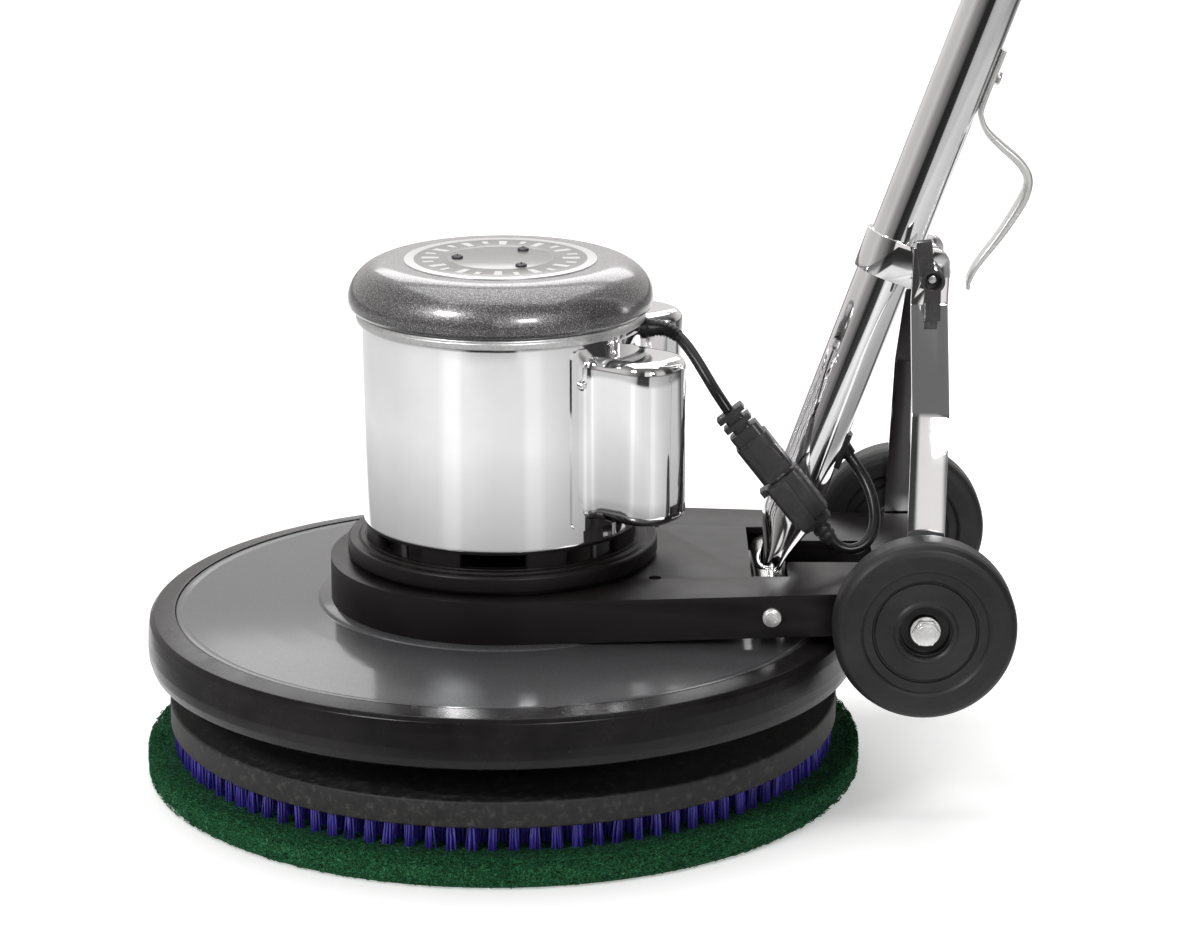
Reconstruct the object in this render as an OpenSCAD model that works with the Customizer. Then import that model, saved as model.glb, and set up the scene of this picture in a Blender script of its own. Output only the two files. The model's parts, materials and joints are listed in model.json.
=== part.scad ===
// Single-disc rotary floor machine: pad, brush drive, apron and bumper,
// geared motor, wheeled chassis and tilting handle.
// Origin at the centre of the pad's lower face, +X to the rear, +Z up.

/* [Pad and brush] */
// Floor pad diameter
pad_diameter = 508; // [400:1:560]
// Floor pad thickness, pressed by the machine's weight
pad_height = 19; // [15:1:30]
// Brush block diameter
block_diameter = 476; // [380:1:500]
// Height of the brush block's lower face
block_z = 36; // [30:1:45]
// Brush block thickness
block_height = 19; // [15:1:25]
// Tuft diameter in the outer rows
tuft_diameter = 7.5; // [5:0.5:10]

/* [Apron and bumper] */
// Bumper outside diameter
bumper_diameter = 504.6; // [400:0.1:560]
// Height of the bumper's lower edge
bumper_z = 81; // [70:1:95]
// Radius of the apron's rim
apron_rim_radius = 232.6; // [200:0.1:260]

/* [Chassis] */
// Radius of the round part of the chassis
chassis_radius = 122; // [100:1:140]
// Height of the chassis's lower edge
chassis_z = 124; // [110:1:140]
// Height of the chassis's top face
deck_z = 154; // [140:1:170]
// Chassis wall and deck thickness
chassis_wall = 5; // [3:0.5:8]
// Rear end of the chassis
tail_x = 306; // [280:1:330]

/* [Motor] */
// Motor shell outside radius
shell_radius = 98; // [80:1:110]
// Height of the shell's lower edge
shell_z = 182; // [170:1:200]
// Shell length
shell_height = 143; // [100:1:180]
// Largest radius of the motor cap
cap_radius = 106.7; // [90:0.1:120]
// Height of the cap's flat top
cap_top_z = 366; // [340:1:400]
// Angle of each capacitor cover from the rear
cover_angle = 36; // [25:1:50]

/* [Gears] */
// Gear module
gear_module = 1.25; // [1:0.05:2]
// Sun teeth
sun_teeth = 12; // [10:1:20]
// Planet teeth
planet_teeth = 48; // [30:1:60]
// Gear face width
gear_width = 16; // [10:1:25]
// Backlash at the pitch circle
backlash = 0.14; // [0.05:0.01:0.3]

/* [Wheels] */
// Wheel radius
wheel_radius = 62.5; // [50:0.5:80]
// Wheel width
wheel_width = 31.5; // [25:0.5:45]
// Distance of the wheel's outer face from the middle
wheel_face_y = 136; // [120:1:160]

/* [Handle] */
// Handle tube outside radius
tube_radius = 19.05; // [15:0.05:25]
// Handle tube wall
tube_wall = 2; // [1:0.1:3]
// Lean of the handle from upright
lean = 20; // [0:1:45]
// Distance from the pivot to the top of the tube
tube_length = 1030; // [900:5:1150]
// Distance from the pivot to the clamp bolt, along the tube
clamp_s = 245.5; // [200:0.5:290]
// Distance of the clamp bolt behind the tube's axis
clamp_t = 27.5; // [25:0.5:35]

/* [Hidden] */
fit_gap = 0.04;
pin_radius = 6.35;
pivot = [187, 0, 139];
axle = [290, 0, 137.5];

// chassis tail: half width at its end, and where its sides leave the round front
tail_half_width = 93.4;
tail_angle = 84.56;

// gear train
pressure_angle = 20;
ring_teeth = sun_teeth + 2 * planet_teeth;
sun_pitch_r = gear_module * sun_teeth / 2;
planet_pitch_r = gear_module * planet_teeth / 2;
ring_pitch_r = gear_module * ring_teeth / 2;
planet_orbit_r = sun_pitch_r + planet_pitch_r;
addendum = 0.75 * gear_module;
dedendum = 1.04 * gear_module;
tooth_width = PI * gear_module / 2;
gear_z = 113;
planet_pin_r = 6;
ring_outer_r = 84.2;
carrier_z = 108;

// drive
block_top_z = block_z + block_height;
clutch_z = block_top_z + 11;
shaft_r = 15;
bearing_r = 31;
block_screw_r = 2.5;
block_screw_circle_r = 82;
tuft_pitch = 24;
inner_tuft_diameter = 11;
output_bearing_z = 88;

// motor
shell_top_z = shell_z + shell_height;
rotor_shaft_r = 10;
journal_r = 8;
lower_bearing_z = 158;
upper_bearing_z = 314;
bolt_circle_r = 92.5;
through_bolt_r = 2.5;
bolt_foot_z = 126;
lower_bearing_r = 26;
upper_bearing_r = 24;
stator_z = 205;
stator_height = 80;
stator_bore_r = 58.5;
rotor_r = 58.1;
slot_count = 24;
slot_r = 70;
slot_radius = 4;
fan_z = 304;

// capacitor covers
cover_z = 200;
cover_height = 115;
cover_half_width = 27;
cover_out_r = 150.5;
cover_wall = 1.5;
cover_corner_r = 24;
cover_screw_z = 296;
cover_screw_angle = 18.8;
cover_screw_r = 2;
flange_half_angle = 23.5;

// cap profile: flat top, rounded shoulder, short return
cap_flat_r = 76;
cap_wide_z = 340;
cap_lip = [103, 333];
cap_wall = 2.5;
badge_screw_circle_r = 30;
cap_screw_r = 2;

// brace between the clamp bolt and the axle
clamp_bolt = [pivot[0] + clamp_s * sin(lean) + clamp_t * cos(lean), 0,
              pivot[2] + clamp_s * cos(lean) - clamp_t * sin(lean)];
brace_dx = clamp_bolt[0] - axle[0];
brace_dz = clamp_bolt[2] - axle[2];
brace_length = sqrt(brace_dx * brace_dx + brace_dz * brace_dz);
brace_tilt = atan2(brace_dx, brace_dz);
brace_width = 25.4;
bolt_radius = 3;
foot_hole = [-3.8, 0];
foot_hole_r = 12.2;

// motor lead: route of its centre line from the bushing to the plug
lead_radius = 3.9;
lead_exit_z = 317;
bushing_r = 6.5;
lead_route = [[103, 0, 317], [110, 0, 317], [117.6, -1.8, 315.4], [124.6, -6, 311.4], [131, -12.6, 305.2],
              [137, -19.8, 297.6], [143, -27, 289], [149.6, -33.8, 279.4], [158.3, -38, 266.9]];
plug_tip = [158.3, -38, 266.9];
plug_turn = 142;
blade_size = [6.4, 1.6];

// handle lead: route of its centre line from the connector's tail to the gland
handle_lead_route = [[231, -38, 173.9], [236.9, -38.2, 169.1], [244.4, -37.8, 167.2], [251.9, -36.2, 168.9],
                     [257.8, -33, 173.9], [261.4, -28, 181.2], [261.9, -21, 190.4], [259.8, -13.6, 200.2],
                     [255.6, -6.8, 209.4], [250, -2, 217.4], [244.2, 0, 225.2]];
gland_tip = [244.2, 0, 225.2];
gland_turn = 147.4;

// foot of the handle tube, pressed flat about the pivot's sleeve
foot_top_s = 46;
foot_half_t = 8;
foot_width = 46;
sleeve_r = 9.5;

// cord hooks: distance of each along the tube
hook_s = [385, 792];
hook_screw_r = 2.5;

// box at the top of the handle
box_s = 1012;
box_height = 92;
box_half_y = 62;
box_half_t = 31;
bar_s = 1078;
grip_start = 68;
grip_end = 188;
trigger_s = 1044;
trigger_t = 15;
trigger_r = 5;
bar_r = 11;
button_r = 7;
post_t = box_half_t - 12;
post_y = 34;

// gear tooth outline: half angle of a tooth at radius r
function inv(a) = tan(a) * 180 / PI - a;
function half_angle(r, pitch_r, width) =
    let (base_r = pitch_r * cos(pressure_angle))
    width / (2 * pitch_r) * 180 / PI + inv(pressure_angle)
    - (r <= base_r ? 0 : inv(acos(base_r / r)));
function polar(r, a) = [r * cos(a), r * sin(a)];
function gear_outline(teeth, root_r, tip_r, pitch_r, width, steps, turn) =
    [for (i = [0 : teeth - 1], k = [0 : 2 * steps + 1])
        let (up = k <= steps,
             j = up ? k : 2 * steps + 1 - k,
             r = root_r + (tip_r - root_r) * j / steps,
             h = half_angle(r, pitch_r, width),
             a = turn + i * 360 / teeth)
        polar(r, up ? a - h : a + h)];

// swept tube of a cord: rings of points about a route
function unit(v) = v / norm(v);
function spline(p, i, t) =
    let (n = len(p) - 1,
         a = p[max(i - 1, 0)], b = p[i], c = p[i + 1], d = p[min(i + 2, n)],
         m0 = i == 0 ? c - b : (c - a) / 2,
         m1 = i == n - 1 ? c - b : (d - b) / 2)
    (2 * t * t * t - 3 * t * t + 1) * b + (t * t * t - 2 * t * t + t) * m0
    + (3 * t * t - 2 * t * t * t) * c + (t * t * t - t * t) * m1;
function smooth(p, k) =
    [for (i = [0 : len(p) - 2], j = [0 : k - 1]) spline(p, i, j / k), p[len(p) - 1]];
function direction(p, i, first, last) =
    i == 0 ? unit(first) : i == len(p) - 1 ? unit(last) : unit(p[i + 1] - p[i - 1]);
function ring(c, d, r, n) =
    let (side = unit(cross(d, [0.02, 1, 0.03])), up = cross(side, d))
    [for (k = [0 : n - 1]) c + r * (cos(k * 360 / n) * side + sin(k * 360 / n) * up)];

module sweep(path, r, first, last, sides = 12) {
    rings = len(path);
    points = [for (i = [0 : rings - 1]) each ring(path[i], direction(path, i, first, last), r, sides)];
    walls = [for (i = [0 : rings - 2], k = [0 : sides - 1])
        let (a = i * sides + k, b = i * sides + (k + 1) % sides)
        each [[a, b, b + sides], [a, b + sides, a + sides]]];
    start = [for (k = [sides - 1 : -1 : 0]) k];
    end = [for (k = [0 : sides - 1]) (rings - 1) * sides + k];
    polyhedron(points = points, faces = concat([start], walls, [end]));
}

// places things in the handle's frame: X behind the tube, Z along it
module on_handle() {
    translate(pivot) rotate([0, lean, 0]) children();
}

// places things in the plug's frame: Z from the plug's cord end to the connector
module on_plug() {
    translate(plug_tip) rotate([0, plug_turn, 0]) children();
}

// places things in the brace's frame: Z from the axle to the clamp bolt
module on_brace() {
    translate(axle) rotate([0, brace_tilt, 0]) children();
}

module along_y(r, y0, y1) {
    translate([0, y1, 0]) rotate([90, 0, 0]) cylinder(r = r, h = y1 - y0);
}

module along_x(r, x0, x1, z = 0) {
    translate([x0, 0, z]) rotate([0, 90, 0]) cylinder(r = r, h = x1 - x0);
}

module tube(r_in, r_out, z0, z1) {
    translate([0, 0, z0]) difference() {
        cylinder(r = r_out, h = z1 - z0);
        translate([0, 0, -1]) cylinder(r = r_in, h = z1 - z0 + 2);
    }
}

module around(count, r, turn = 0) {
    for (i = [0 : count - 1]) rotate([0, 0, turn + i * 360 / count]) translate([r, 0, 0]) children();
}

module rounded_box(size, r) {
    linear_extrude(height = size[2]) union() {
        square([size[0] - 2 * r, size[1]], center = true);
        square([size[0], size[1] - 2 * r], center = true);
        for (x = [-1, 1], y = [-1, 1])
            translate([x * (size[0] / 2 - r), y * (size[1] / 2 - r)]) circle(r = r);
    }
}

// ---- pad and brush drive ----

module pad() {
    color("darkgreen") rotate_extrude() polygon([[0, 0], [pad_diameter / 2 - 5, 0],
        [pad_diameter / 2 - 1.5, 1.5], [pad_diameter / 2, 5], [pad_diameter / 2, pad_height - 4],
        [pad_diameter / 2 - 1.2, pad_height - 1.2], [pad_diameter / 2 - 4, pad_height], [0, pad_height]]);
}

module bristles() {
    height = block_z - pad_height;
    color("darkslateblue") translate([0, 0, pad_height]) {
        around(104, 232) cylinder(d = tuft_diameter, h = height);
        around(96, 218, 1.7) cylinder(d = tuft_diameter, h = height);
        for (r = [196 : -tuft_pitch : 100])
            around(floor(2 * PI * r / tuft_pitch), r, r / 9) cylinder(d = inner_tuft_diameter, h = height);
    }
}

module brush_block() {
    r = block_diameter / 2;
    color("dimgray") difference() {
        rotate_extrude() polygon([[40, block_z], [r - 3, block_z], [r - 1, block_z + 2], [r, block_top_z - 2],
            [r - 2, block_top_z], [92, block_top_z], [92, clutch_z], [72, clutch_z], [72, block_top_z],
            [40, block_top_z]]);
        around(6, block_screw_circle_r) translate([0, 0, block_top_z + 2])
            cylinder(r = block_screw_r, h = 20);
    }
}

module block_screws() {
    color("silver") around(6, block_screw_circle_r) {
        translate([0, 0, block_top_z + 2]) cylinder(r = block_screw_r, h = clutch_z - block_top_z + 4);
        translate([0, 0, clutch_z + 6]) cylinder(r = 5, h = 3);
    }
}

module clutch_plate() {
    color("slategray") difference() {
        union() {
            tube(30, 90, clutch_z, clutch_z + 6);
            around(3, 60, 60) translate([-10, -8, clutch_z + 5]) cube([20, 16, 9]);
        }
        around(6, block_screw_circle_r) translate([0, 0, clutch_z - 1]) cylinder(r = block_screw_r, h = 20);
    }
}

module drive_hub() {
    color("gray") difference() {
        union() {
            translate([0, 0, clutch_z]) cylinder(r = 24, h = 20);
            around(3, 0, 60 + 16.7) translate([10, -6, clutch_z + 7]) cube([60, 12, 8]);
        }
        translate([0, 0, clutch_z - 1]) cylinder(r = shaft_r, h = 30);
    }
}

module hub_bolt() {
    color("silver") {
        translate([0, 0, clutch_z - 3]) cylinder(r = 20, h = 3);
        translate([0, 0, clutch_z - 11]) cylinder(r = 11, h = 8, $fn = 6);
        translate([0, 0, clutch_z - 4]) cylinder(r = 5, h = 28);
    }
}

module output_shaft() {
    color("gray") difference() {
        union() {
            translate([0, 0, clutch_z]) cylinder(r = shaft_r, h = 36);
            translate([0, 0, clutch_z + 34]) cylinder(r = 50, h = 9);
            around(3, planet_orbit_r) {
                translate([0, 0, carrier_z]) cylinder(r = 9, h = gear_z - carrier_z);
                translate([0, 0, carrier_z])
                    cylinder(r = planet_pin_r, h = gear_z + gear_width + 2 - carrier_z);
            }
        }
        translate([0, 0, clutch_z - 1]) cylinder(r = 5, h = 25);
    }
}

module planet_at(i) {
    color("goldenrod") rotate([0, 0, i * 120]) translate([planet_orbit_r, 0, gear_z])
        difference() {
            linear_extrude(height = gear_width) polygon(gear_outline(planet_teeth,
                planet_pitch_r - dedendum, planet_pitch_r + addendum, planet_pitch_r,
                tooth_width - backlash / 2, 3, 180 / planet_teeth));
            translate([0, 0, -1]) cylinder(r = planet_pin_r + fit_gap, h = gear_width + 2);
            around(5, 18, 36) translate([0, 0, -1]) cylinder(r = 5.5, h = gear_width + 2);
        }
}

module planet_1() {
    planet_at(0);
}

module planet_2() {
    planet_at(1);
}

module planet_3() {
    planet_at(2);
}

module rotor_shaft() {
    sun_top_z = gear_z + gear_width + 2;
    color("lightgray") {
        translate([0, 0, gear_z - 1]) linear_extrude(height = gear_width + 4)
            polygon(gear_outline(sun_teeth, sun_pitch_r - dedendum, sun_pitch_r + addendum,
                sun_pitch_r, tooth_width - backlash / 2, 5, 0));
        translate([0, 0, sun_top_z]) cylinder(r = rotor_shaft_r, h = upper_bearing_z - sun_top_z);
        translate([0, 0, upper_bearing_z - 1]) cylinder(r = journal_r, h = 15);
    }
}

module rotor_core() {
    color("darkgray") difference() {
        union() {
            translate([0, 0, stator_z]) cylinder(r = rotor_r, h = stator_height);
            translate([0, 0, stator_z - 9]) cylinder(r = 54, h = stator_height + 18);
        }
        translate([0, 0, stator_z - 20]) cylinder(r = rotor_shaft_r, h = stator_height + 40);
        for (z = [stator_z - 10, stator_z + stator_height + 4])
            translate([0, 0, z]) tube(0, 40, 0, 6);
    }
}

module cooling_fan() {
    color("black") difference() {
        translate([0, 0, fan_z]) {
            cylinder(r = 18, h = 7);
            cylinder(r = 62, h = 1.5);
            around(9, 16) translate([0, -1, 0.5]) cube([46, 2, 6.5]);
        }
        translate([0, 0, fan_z - 1]) cylinder(r = rotor_shaft_r, h = 12);
    }
}

// ---- apron, bumper, chassis ----

module apron() {
    rim = apron_rim_radius;
    color("dimgray") rotate_extrude() polygon([[96, 119], [131, 118.6], [180, 116.2], [226, 112.6],
        [232, 110.5], [235.5, 108.5], [235.5, bumper_z + 3], [238.5, bumper_z + 3], [238.5, 112],
        [rim, 116], [rim - 1, 117.2], [rim - 3.6, 117.6], [rim - 6.6, 116.8], [205, 118.6], [180, 120.3],
        [155, 121.6], [131.5, 122.5], [129, 124], [96, 124]]);
}

module bumper() {
    r = bumper_diameter / 2;
    rim = apron_rim_radius;
    color("black") rotate_extrude() polygon([[238.5, bumper_z], [r - 4.5, bumper_z], [r - 2, bumper_z + 1.5],
        [r - 0.4, bumper_z + 6], [r, bumper_z + 13], [r - 0.5, bumper_z + 24], [r - 1.3, bumper_z + 29],
        [r - 2, bumper_z + 31.5], [r - 4, bumper_z + 33], [rim + 1.2, 116], [rim, 116], [238.5, 112]]);
}

// round front that runs tangentially into the tapered tail
module chassis_outline(inset) {
    r = chassis_radius - inset;
    x = tail_x - inset;
    half = tail_half_width - inset * 0.92;
    polygon(concat([for (i = [0 : 64]) polar(r, tail_angle + i * (360 - 2 * tail_angle) / 64)],
        [[x, -half], [x, half]]));
}

module bolt_pattern(z, height) {
    around(4, bolt_circle_r, 45) translate([0, 0, z]) cylinder(r = through_bolt_r, h = height);
}

module chassis() {
    color([0.16, 0.15, 0.15]) difference() {
        translate([0, 0, chassis_z]) linear_extrude(height = deck_z - chassis_z) chassis_outline(0);
        difference() {
            translate([0, 0, chassis_z - 1]) linear_extrude(height = deck_z - chassis_z - chassis_wall + 1)
                chassis_outline(chassis_wall);
            // stiffening ribs under the deck, one on each side of the slot
            for (y = [26, -31]) translate([202, y, chassis_z]) cube([100, 5, deck_z - chassis_z]);
        }
        translate([0, 0, deck_z - 10]) cylinder(r = 60, h = 20);
        translate([174.5, -60, deck_z - 10]) cube([26, 120, 20]);
        translate([200, -26, deck_z - 10]) cube([62, 52, 20]);
        translate(pivot) along_y(pin_radius, -130, 130);
        translate(axle) along_y(pin_radius, -130, 130);
        for (y = [-63, 63]) translate([107.4, y, deck_z - 10]) cylinder(r = 4.5, h = 20);
        bolt_pattern(deck_z - 10, 20);
    }
}

module gear_case() {
    color("dimgray") difference() {
        rotate_extrude() polygon([[bearing_r, 88], [60, 88], [64, 90], [92, 90], [95.5, 93.5], [95.5, 143],
            [112, 143], [112, 149], [ring_outer_r, 149], [ring_outer_r, 112], [76, 112], [76, 98],
            [bearing_r, 98]]);
        bolt_pattern(bolt_foot_z, 30);
    }
}

module ring_gear() {
    color("gray") translate([0, 0, 112]) linear_extrude(height = 18) difference() {
        circle(r = ring_outer_r);
        polygon(gear_outline(ring_teeth, ring_pitch_r - addendum, ring_pitch_r + dedendum, ring_pitch_r,
            tooth_width + backlash / 2, 2, 180 / ring_teeth));
    }
}

module output_bearing() {
    color("silver") tube(shaft_r + fit_gap, bearing_r, output_bearing_z, output_bearing_z + 10);
}

// ---- motor ----

module motor_flange() {
    color([0.13, 0.12, 0.12]) difference() {
        rotate_extrude() polygon([[15, deck_z], [105, deck_z], [105, deck_z + 3], [109.6, deck_z + 3],
            [109.6, deck_z + 14.4], [97, deck_z + 14.4], [97, shell_z], [91, shell_z], [91, deck_z + 8],
            [31, deck_z + 8], [31, deck_z + 18], [26, deck_z + 18], [26, deck_z + 4], [15, deck_z + 4]]);
        around(8, 94, -92) translate([-10, -21.5, deck_z + 16]) cube([20, 43, 10]);
        bolt_pattern(deck_z - 1, 30);
    }
}

module through_bolts() {
    color("silver") {
        bolt_pattern(bolt_foot_z, shell_top_z + 5 - bolt_foot_z);
        around(4, bolt_circle_r, 45) translate([0, 0, shell_top_z + 4]) cylinder(r = 4.4, h = 3, $fn = 6);
    }
}

module motor_bearings() {
    color("silver") {
        tube(rotor_shaft_r + fit_gap, lower_bearing_r, lower_bearing_z, lower_bearing_z + 12);
        tube(journal_r + fit_gap, upper_bearing_r, upper_bearing_z, upper_bearing_z + 11);
    }
}

module motor_shell() {
    color("gainsboro") difference() {
        tube(shell_radius - 2, shell_radius, shell_z, shell_top_z);
        along_x(bushing_r, 80, 120, lead_exit_z);
        for (s = [-1, 1], t = [-1, 1]) rotate([0, 0, s * cover_angle + t * cover_screw_angle])
            along_x(cover_screw_r, 80, 120, cover_screw_z);
    }
}

module top_bell() {
    z = shell_top_z;
    color("silver") difference() {
        union() {
            rotate_extrude() polygon([[upper_bearing_r, z - 12], [29, z - 12], [29, z], [100.5, z],
                [101, z + 1], [101, z + 6], [100.2, z + 7], [97.2, z + 7], [97.2, z + 4], [12, z + 4],
                [12, z], [upper_bearing_r, z]]);
            around(3, badge_screw_circle_r, 60) translate([0, 0, z + 3])
                cylinder(r = 5, h = cap_top_z - cap_wall - z - 3);
        }
        around(6, 60, 30) translate([0, 0, z - 2]) cylinder(r = 14, h = 10);
        bolt_pattern(z - 2, 10);
        around(3, badge_screw_circle_r, 60) translate([0, 0, z + 20]) cylinder(r = cap_screw_r, h = 40);
    }
}

function cap_shoulder(w) =
    [for (i = [0 : 10]) let (a = 90 - i * 9)
        [cap_flat_r + (cap_radius - cap_flat_r - w) * cos(a),
         cap_wide_z + (cap_top_z - cap_wide_z - w) * sin(a)]];

module motor_cap() {
    color("gray") difference() {
        rotate_extrude() polygon(concat([[0, cap_top_z]], cap_shoulder(0), [[cap_radius - 1, cap_wide_z - 4],
            cap_lip, [cap_lip[0] - cap_wall, cap_lip[1]], [cap_radius - 1 - cap_wall, cap_wide_z - 3]],
            [for (i = [10 : -1 : 0]) cap_shoulder(cap_wall)[i]], [[0, cap_top_z - cap_wall]]));
        around(3, badge_screw_circle_r, 60) translate([0, 0, cap_top_z - 10])
            cylinder(r = cap_screw_r, h = 20);
    }
}

module cap_badge() {
    color("whitesmoke") difference() {
        translate([0, 0, cap_top_z]) {
            cylinder(r = 67.3, h = 0.7);
            tube(60.5, 66.8, 0.5, 1);
            cylinder(r = 36, h = 1);
        }
        around(3, badge_screw_circle_r, 60) translate([0, 0, cap_top_z - 1])
            cylinder(r = cap_screw_r, h = 20);
    }
}

module cap_screws() {
    color("silver") around(3, badge_screw_circle_r, 60) {
        translate([0, 0, shell_top_z + 20]) cylinder(r = cap_screw_r, h = cap_top_z - shell_top_z - 19);
        translate([0, 0, cap_top_z + 1]) cylinder(r = 4, h = 1.8);
    }
}

module stator_core() {
    color("dimgray") difference() {
        tube(stator_bore_r, shell_radius - 2, stator_z, stator_z + stator_height);
        around(slot_count, slot_r) translate([0, 0, stator_z - 1])
            cylinder(r = slot_radius, h = stator_height + 2);
        bolt_pattern(stator_z - 1, stator_height + 2);
    }
}

module stator_windings() {
    color("peru") {
        around(slot_count, slot_r) translate([0, 0, stator_z - 4])
            cylinder(r = slot_radius, h = stator_height + 8);
        for (z = [stator_z - 14, stator_z + stator_height]) tube(60, 84, z, z + 14);
    }
}

module cover_outline(inset) {
    w = cover_half_width - inset;
    hull() {
        translate([80, -w]) square([1, 2 * w]);
        for (s = [-1, 1]) translate([cover_out_r - cover_corner_r, s * (cover_half_width - cover_corner_r)])
            circle(r = cover_corner_r - inset, $fn = 48);
    }
}

module cover_layer(z_inset, inset) {
    translate([0, 0, cover_z + z_inset]) linear_extrude(height = cover_height - 2 * z_inset)
        cover_outline(inset);
}

module cover_block(w) {
    hull() {
        cover_layer(4, w);
        cover_layer(1.2 + w, w + 1.2);
        cover_layer(w, w + 4);
    }
}

module capacitor_cover(side) {
    color("gainsboro") rotate([0, 0, side * cover_angle]) difference() {
        union() {
            cover_block(0);
            rotate([0, 0, -flange_half_angle]) rotate_extrude(angle = 2 * flange_half_angle, $fn = 360)
                translate([shell_radius - 1, cover_z - 7]) square([cover_wall + 1, cover_height + 13]);
        }
        cover_block(cover_wall);
        translate([0, 0, cover_z - 20])
            cylinder(r = shell_radius + fit_gap, h = cover_height + 40, $fn = 360);
        for (t = [-1, 1]) rotate([0, 0, t * cover_screw_angle])
            along_x(cover_screw_r + 0.1, 80, 120, cover_screw_z, $fn = 48);
    }
}

module capacitor_cover_near() {
    capacitor_cover(-1);
}

module capacitor_cover_far() {
    capacitor_cover(1);
}

module capacitors() {
    color("black") for (s = [-1, 1]) rotate([0, 0, s * cover_angle]) translate([125.5, 0, cover_z + 6]) {
        cylinder(r = 19, h = 98);
        for (t = [-1, 1]) translate([0, 7 * t, 97]) cylinder(r = 2.5, h = 7);
    }
}

module cover_screws() {
    head_x = shell_radius + cover_wall + 0.1;
    color("silver") for (s = [-1, 1], t = [-1, 1]) rotate([0, 0, s * cover_angle + t * cover_screw_angle]) {
        along_x(cover_screw_r, shell_radius - 6, shell_radius + 3, cover_screw_z);
        along_x(3.6, head_x, head_x + 2, cover_screw_z);
    }
}

module motor_bushing() {
    color("black") {
        along_x(bushing_r, shell_radius - 6, shell_radius + 4, lead_exit_z);
        along_x(7.6, shell_radius + 0.2, shell_radius + 3.2, lead_exit_z);
        along_x(5.5, shell_radius + 3, shell_radius + 5, lead_exit_z);
    }
}

module motor_lead() {
    color("black") sweep(smooth(lead_route, 3), lead_radius, [1, 0, 0],
        [sin(plug_turn), 0, cos(plug_turn)]);
}

module blades(z, height) {
    for (s = [-1, 1]) translate([(s - 0.5) * blade_size[0], -blade_size[1] / 2, z])
        cube([blade_size[0], blade_size[1], height]);
}

module lead_plug() {
    color([0.1, 0.1, 0.11]) on_plug() difference() {
        union() {
            rounded_box([21, 14, 4], 2);
            translate([0, 0, 3]) rounded_box([13, 11, 9], 3);
            translate([0, 0, 8]) rounded_box([21, 14, 4], 2);
            translate([0, 0, 12]) rounded_box([13, 11, 6], 3);
            translate([0, 0, 16]) rounded_box([22, 17, 10], 4);
            translate([0, 0, 25]) rounded_box([25, 21, 31], 5);
            translate([-3, -10, 24]) rotate([90, 0, 0]) linear_extrude(height = 2)
                polygon([[-6, 1], [6, 1], [7.5, 30], [-7.5, 30]]);
        }
        blades(44, 20);
    }
}

module plug_blades() {
    color("silver") on_plug() blades(44, 29);
}

module lead_connector() {
    color([0.1, 0.1, 0.11]) on_plug() difference() {
        union() {
            translate([0, 0, 59]) rounded_box([27, 22, 36], 4);
            translate([0, 0, 93]) rounded_box([22, 18, 9], 4);
            translate([4.5, -10, 61]) rotate([90, 0, 0]) linear_extrude(height = 2.5)
                polygon([[-7, 0], [7, 0], [6, 37], [-6, 37]]);
            translate([10, -6, 59]) cube([8, 12, 5]);
            translate([0, 0, 101]) cylinder(r = 7.3, h = 3);
            translate([0, 0, 103]) cylinder(r = 5.8, h = 4);
            translate([0, 0, 106]) cylinder(r = 6.8, h = 3);
            translate([0, 0, 108]) cylinder(r = 5.4, h = 4);
            translate([0, 0, 111]) cylinder(r = 6.2, h = 3);
            translate([0, 0, 113]) cylinder(r = 4.9, h = 5);
        }
        blades(50, 23);
    }
}

// ---- axle and wheels ----

module pivot_pin() {
    color("silver") translate(pivot) {
        along_y(pin_radius, -108, 108);
        along_y(4.8, -109, 109);
    }
}

module axle_shaft() {
    color("silver") translate(axle) along_y(pin_radius, -134, 134);
}

module axle_nuts() {
    color("gainsboro") translate(axle) for (s = [-1, 1]) scale([1, s, 1]) difference() {
        union() {
            along_y(10.2, 130.2, 131.6);
            translate([0, 136, 0]) rotate([90, 0, 0]) cylinder(r = 9.6, h = 5, $fn = 6);
            along_y(8, 135, 138.2);
            along_y(6.2, 135, 139.2);
        }
        along_y(pin_radius, 100, 134);
    }
}

module wheel_at(side) {
    w = wheel_width;
    r = wheel_radius;
    color([0.1, 0.1, 0.1]) translate(axle) rotate([side * 90, 0, 0]) translate([0, 0, -wheel_face_y])
        rotate_extrude() polygon([[pin_radius + fit_gap, 6], [15.5, 6], [16.3, 5.2], [17.6, 5.2],
            [18.4, 1.6], [20.3, 0.6], [22.5, 1.6], [34, 2.6], [34.6, 3.6], [35.6, 2.6], [42.6, 2.4],
            [43.4, 1.2], [44.6, 0.2], [54, 0], [58.5, 1], [61.2, 3.6], [r, 7.5], [r, w - 7.5],
            [61.2, w - 3.6], [58.5, w - 1], [54, w], [44.6, w - 0.2], [43.4, w - 1.2], [42.6, w - 2.4],
            [35.6, w - 2.6], [34.6, w - 3.6], [34, w - 2.6], [22.5, w - 1.6], [20.3, w - 0.6],
            [pin_radius + fit_gap, w - 0.6]]);
}

module wheel_near() {
    wheel_at(-1);
}

module wheel_far() {
    wheel_at(1);
}

// ---- handle ----

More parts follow.
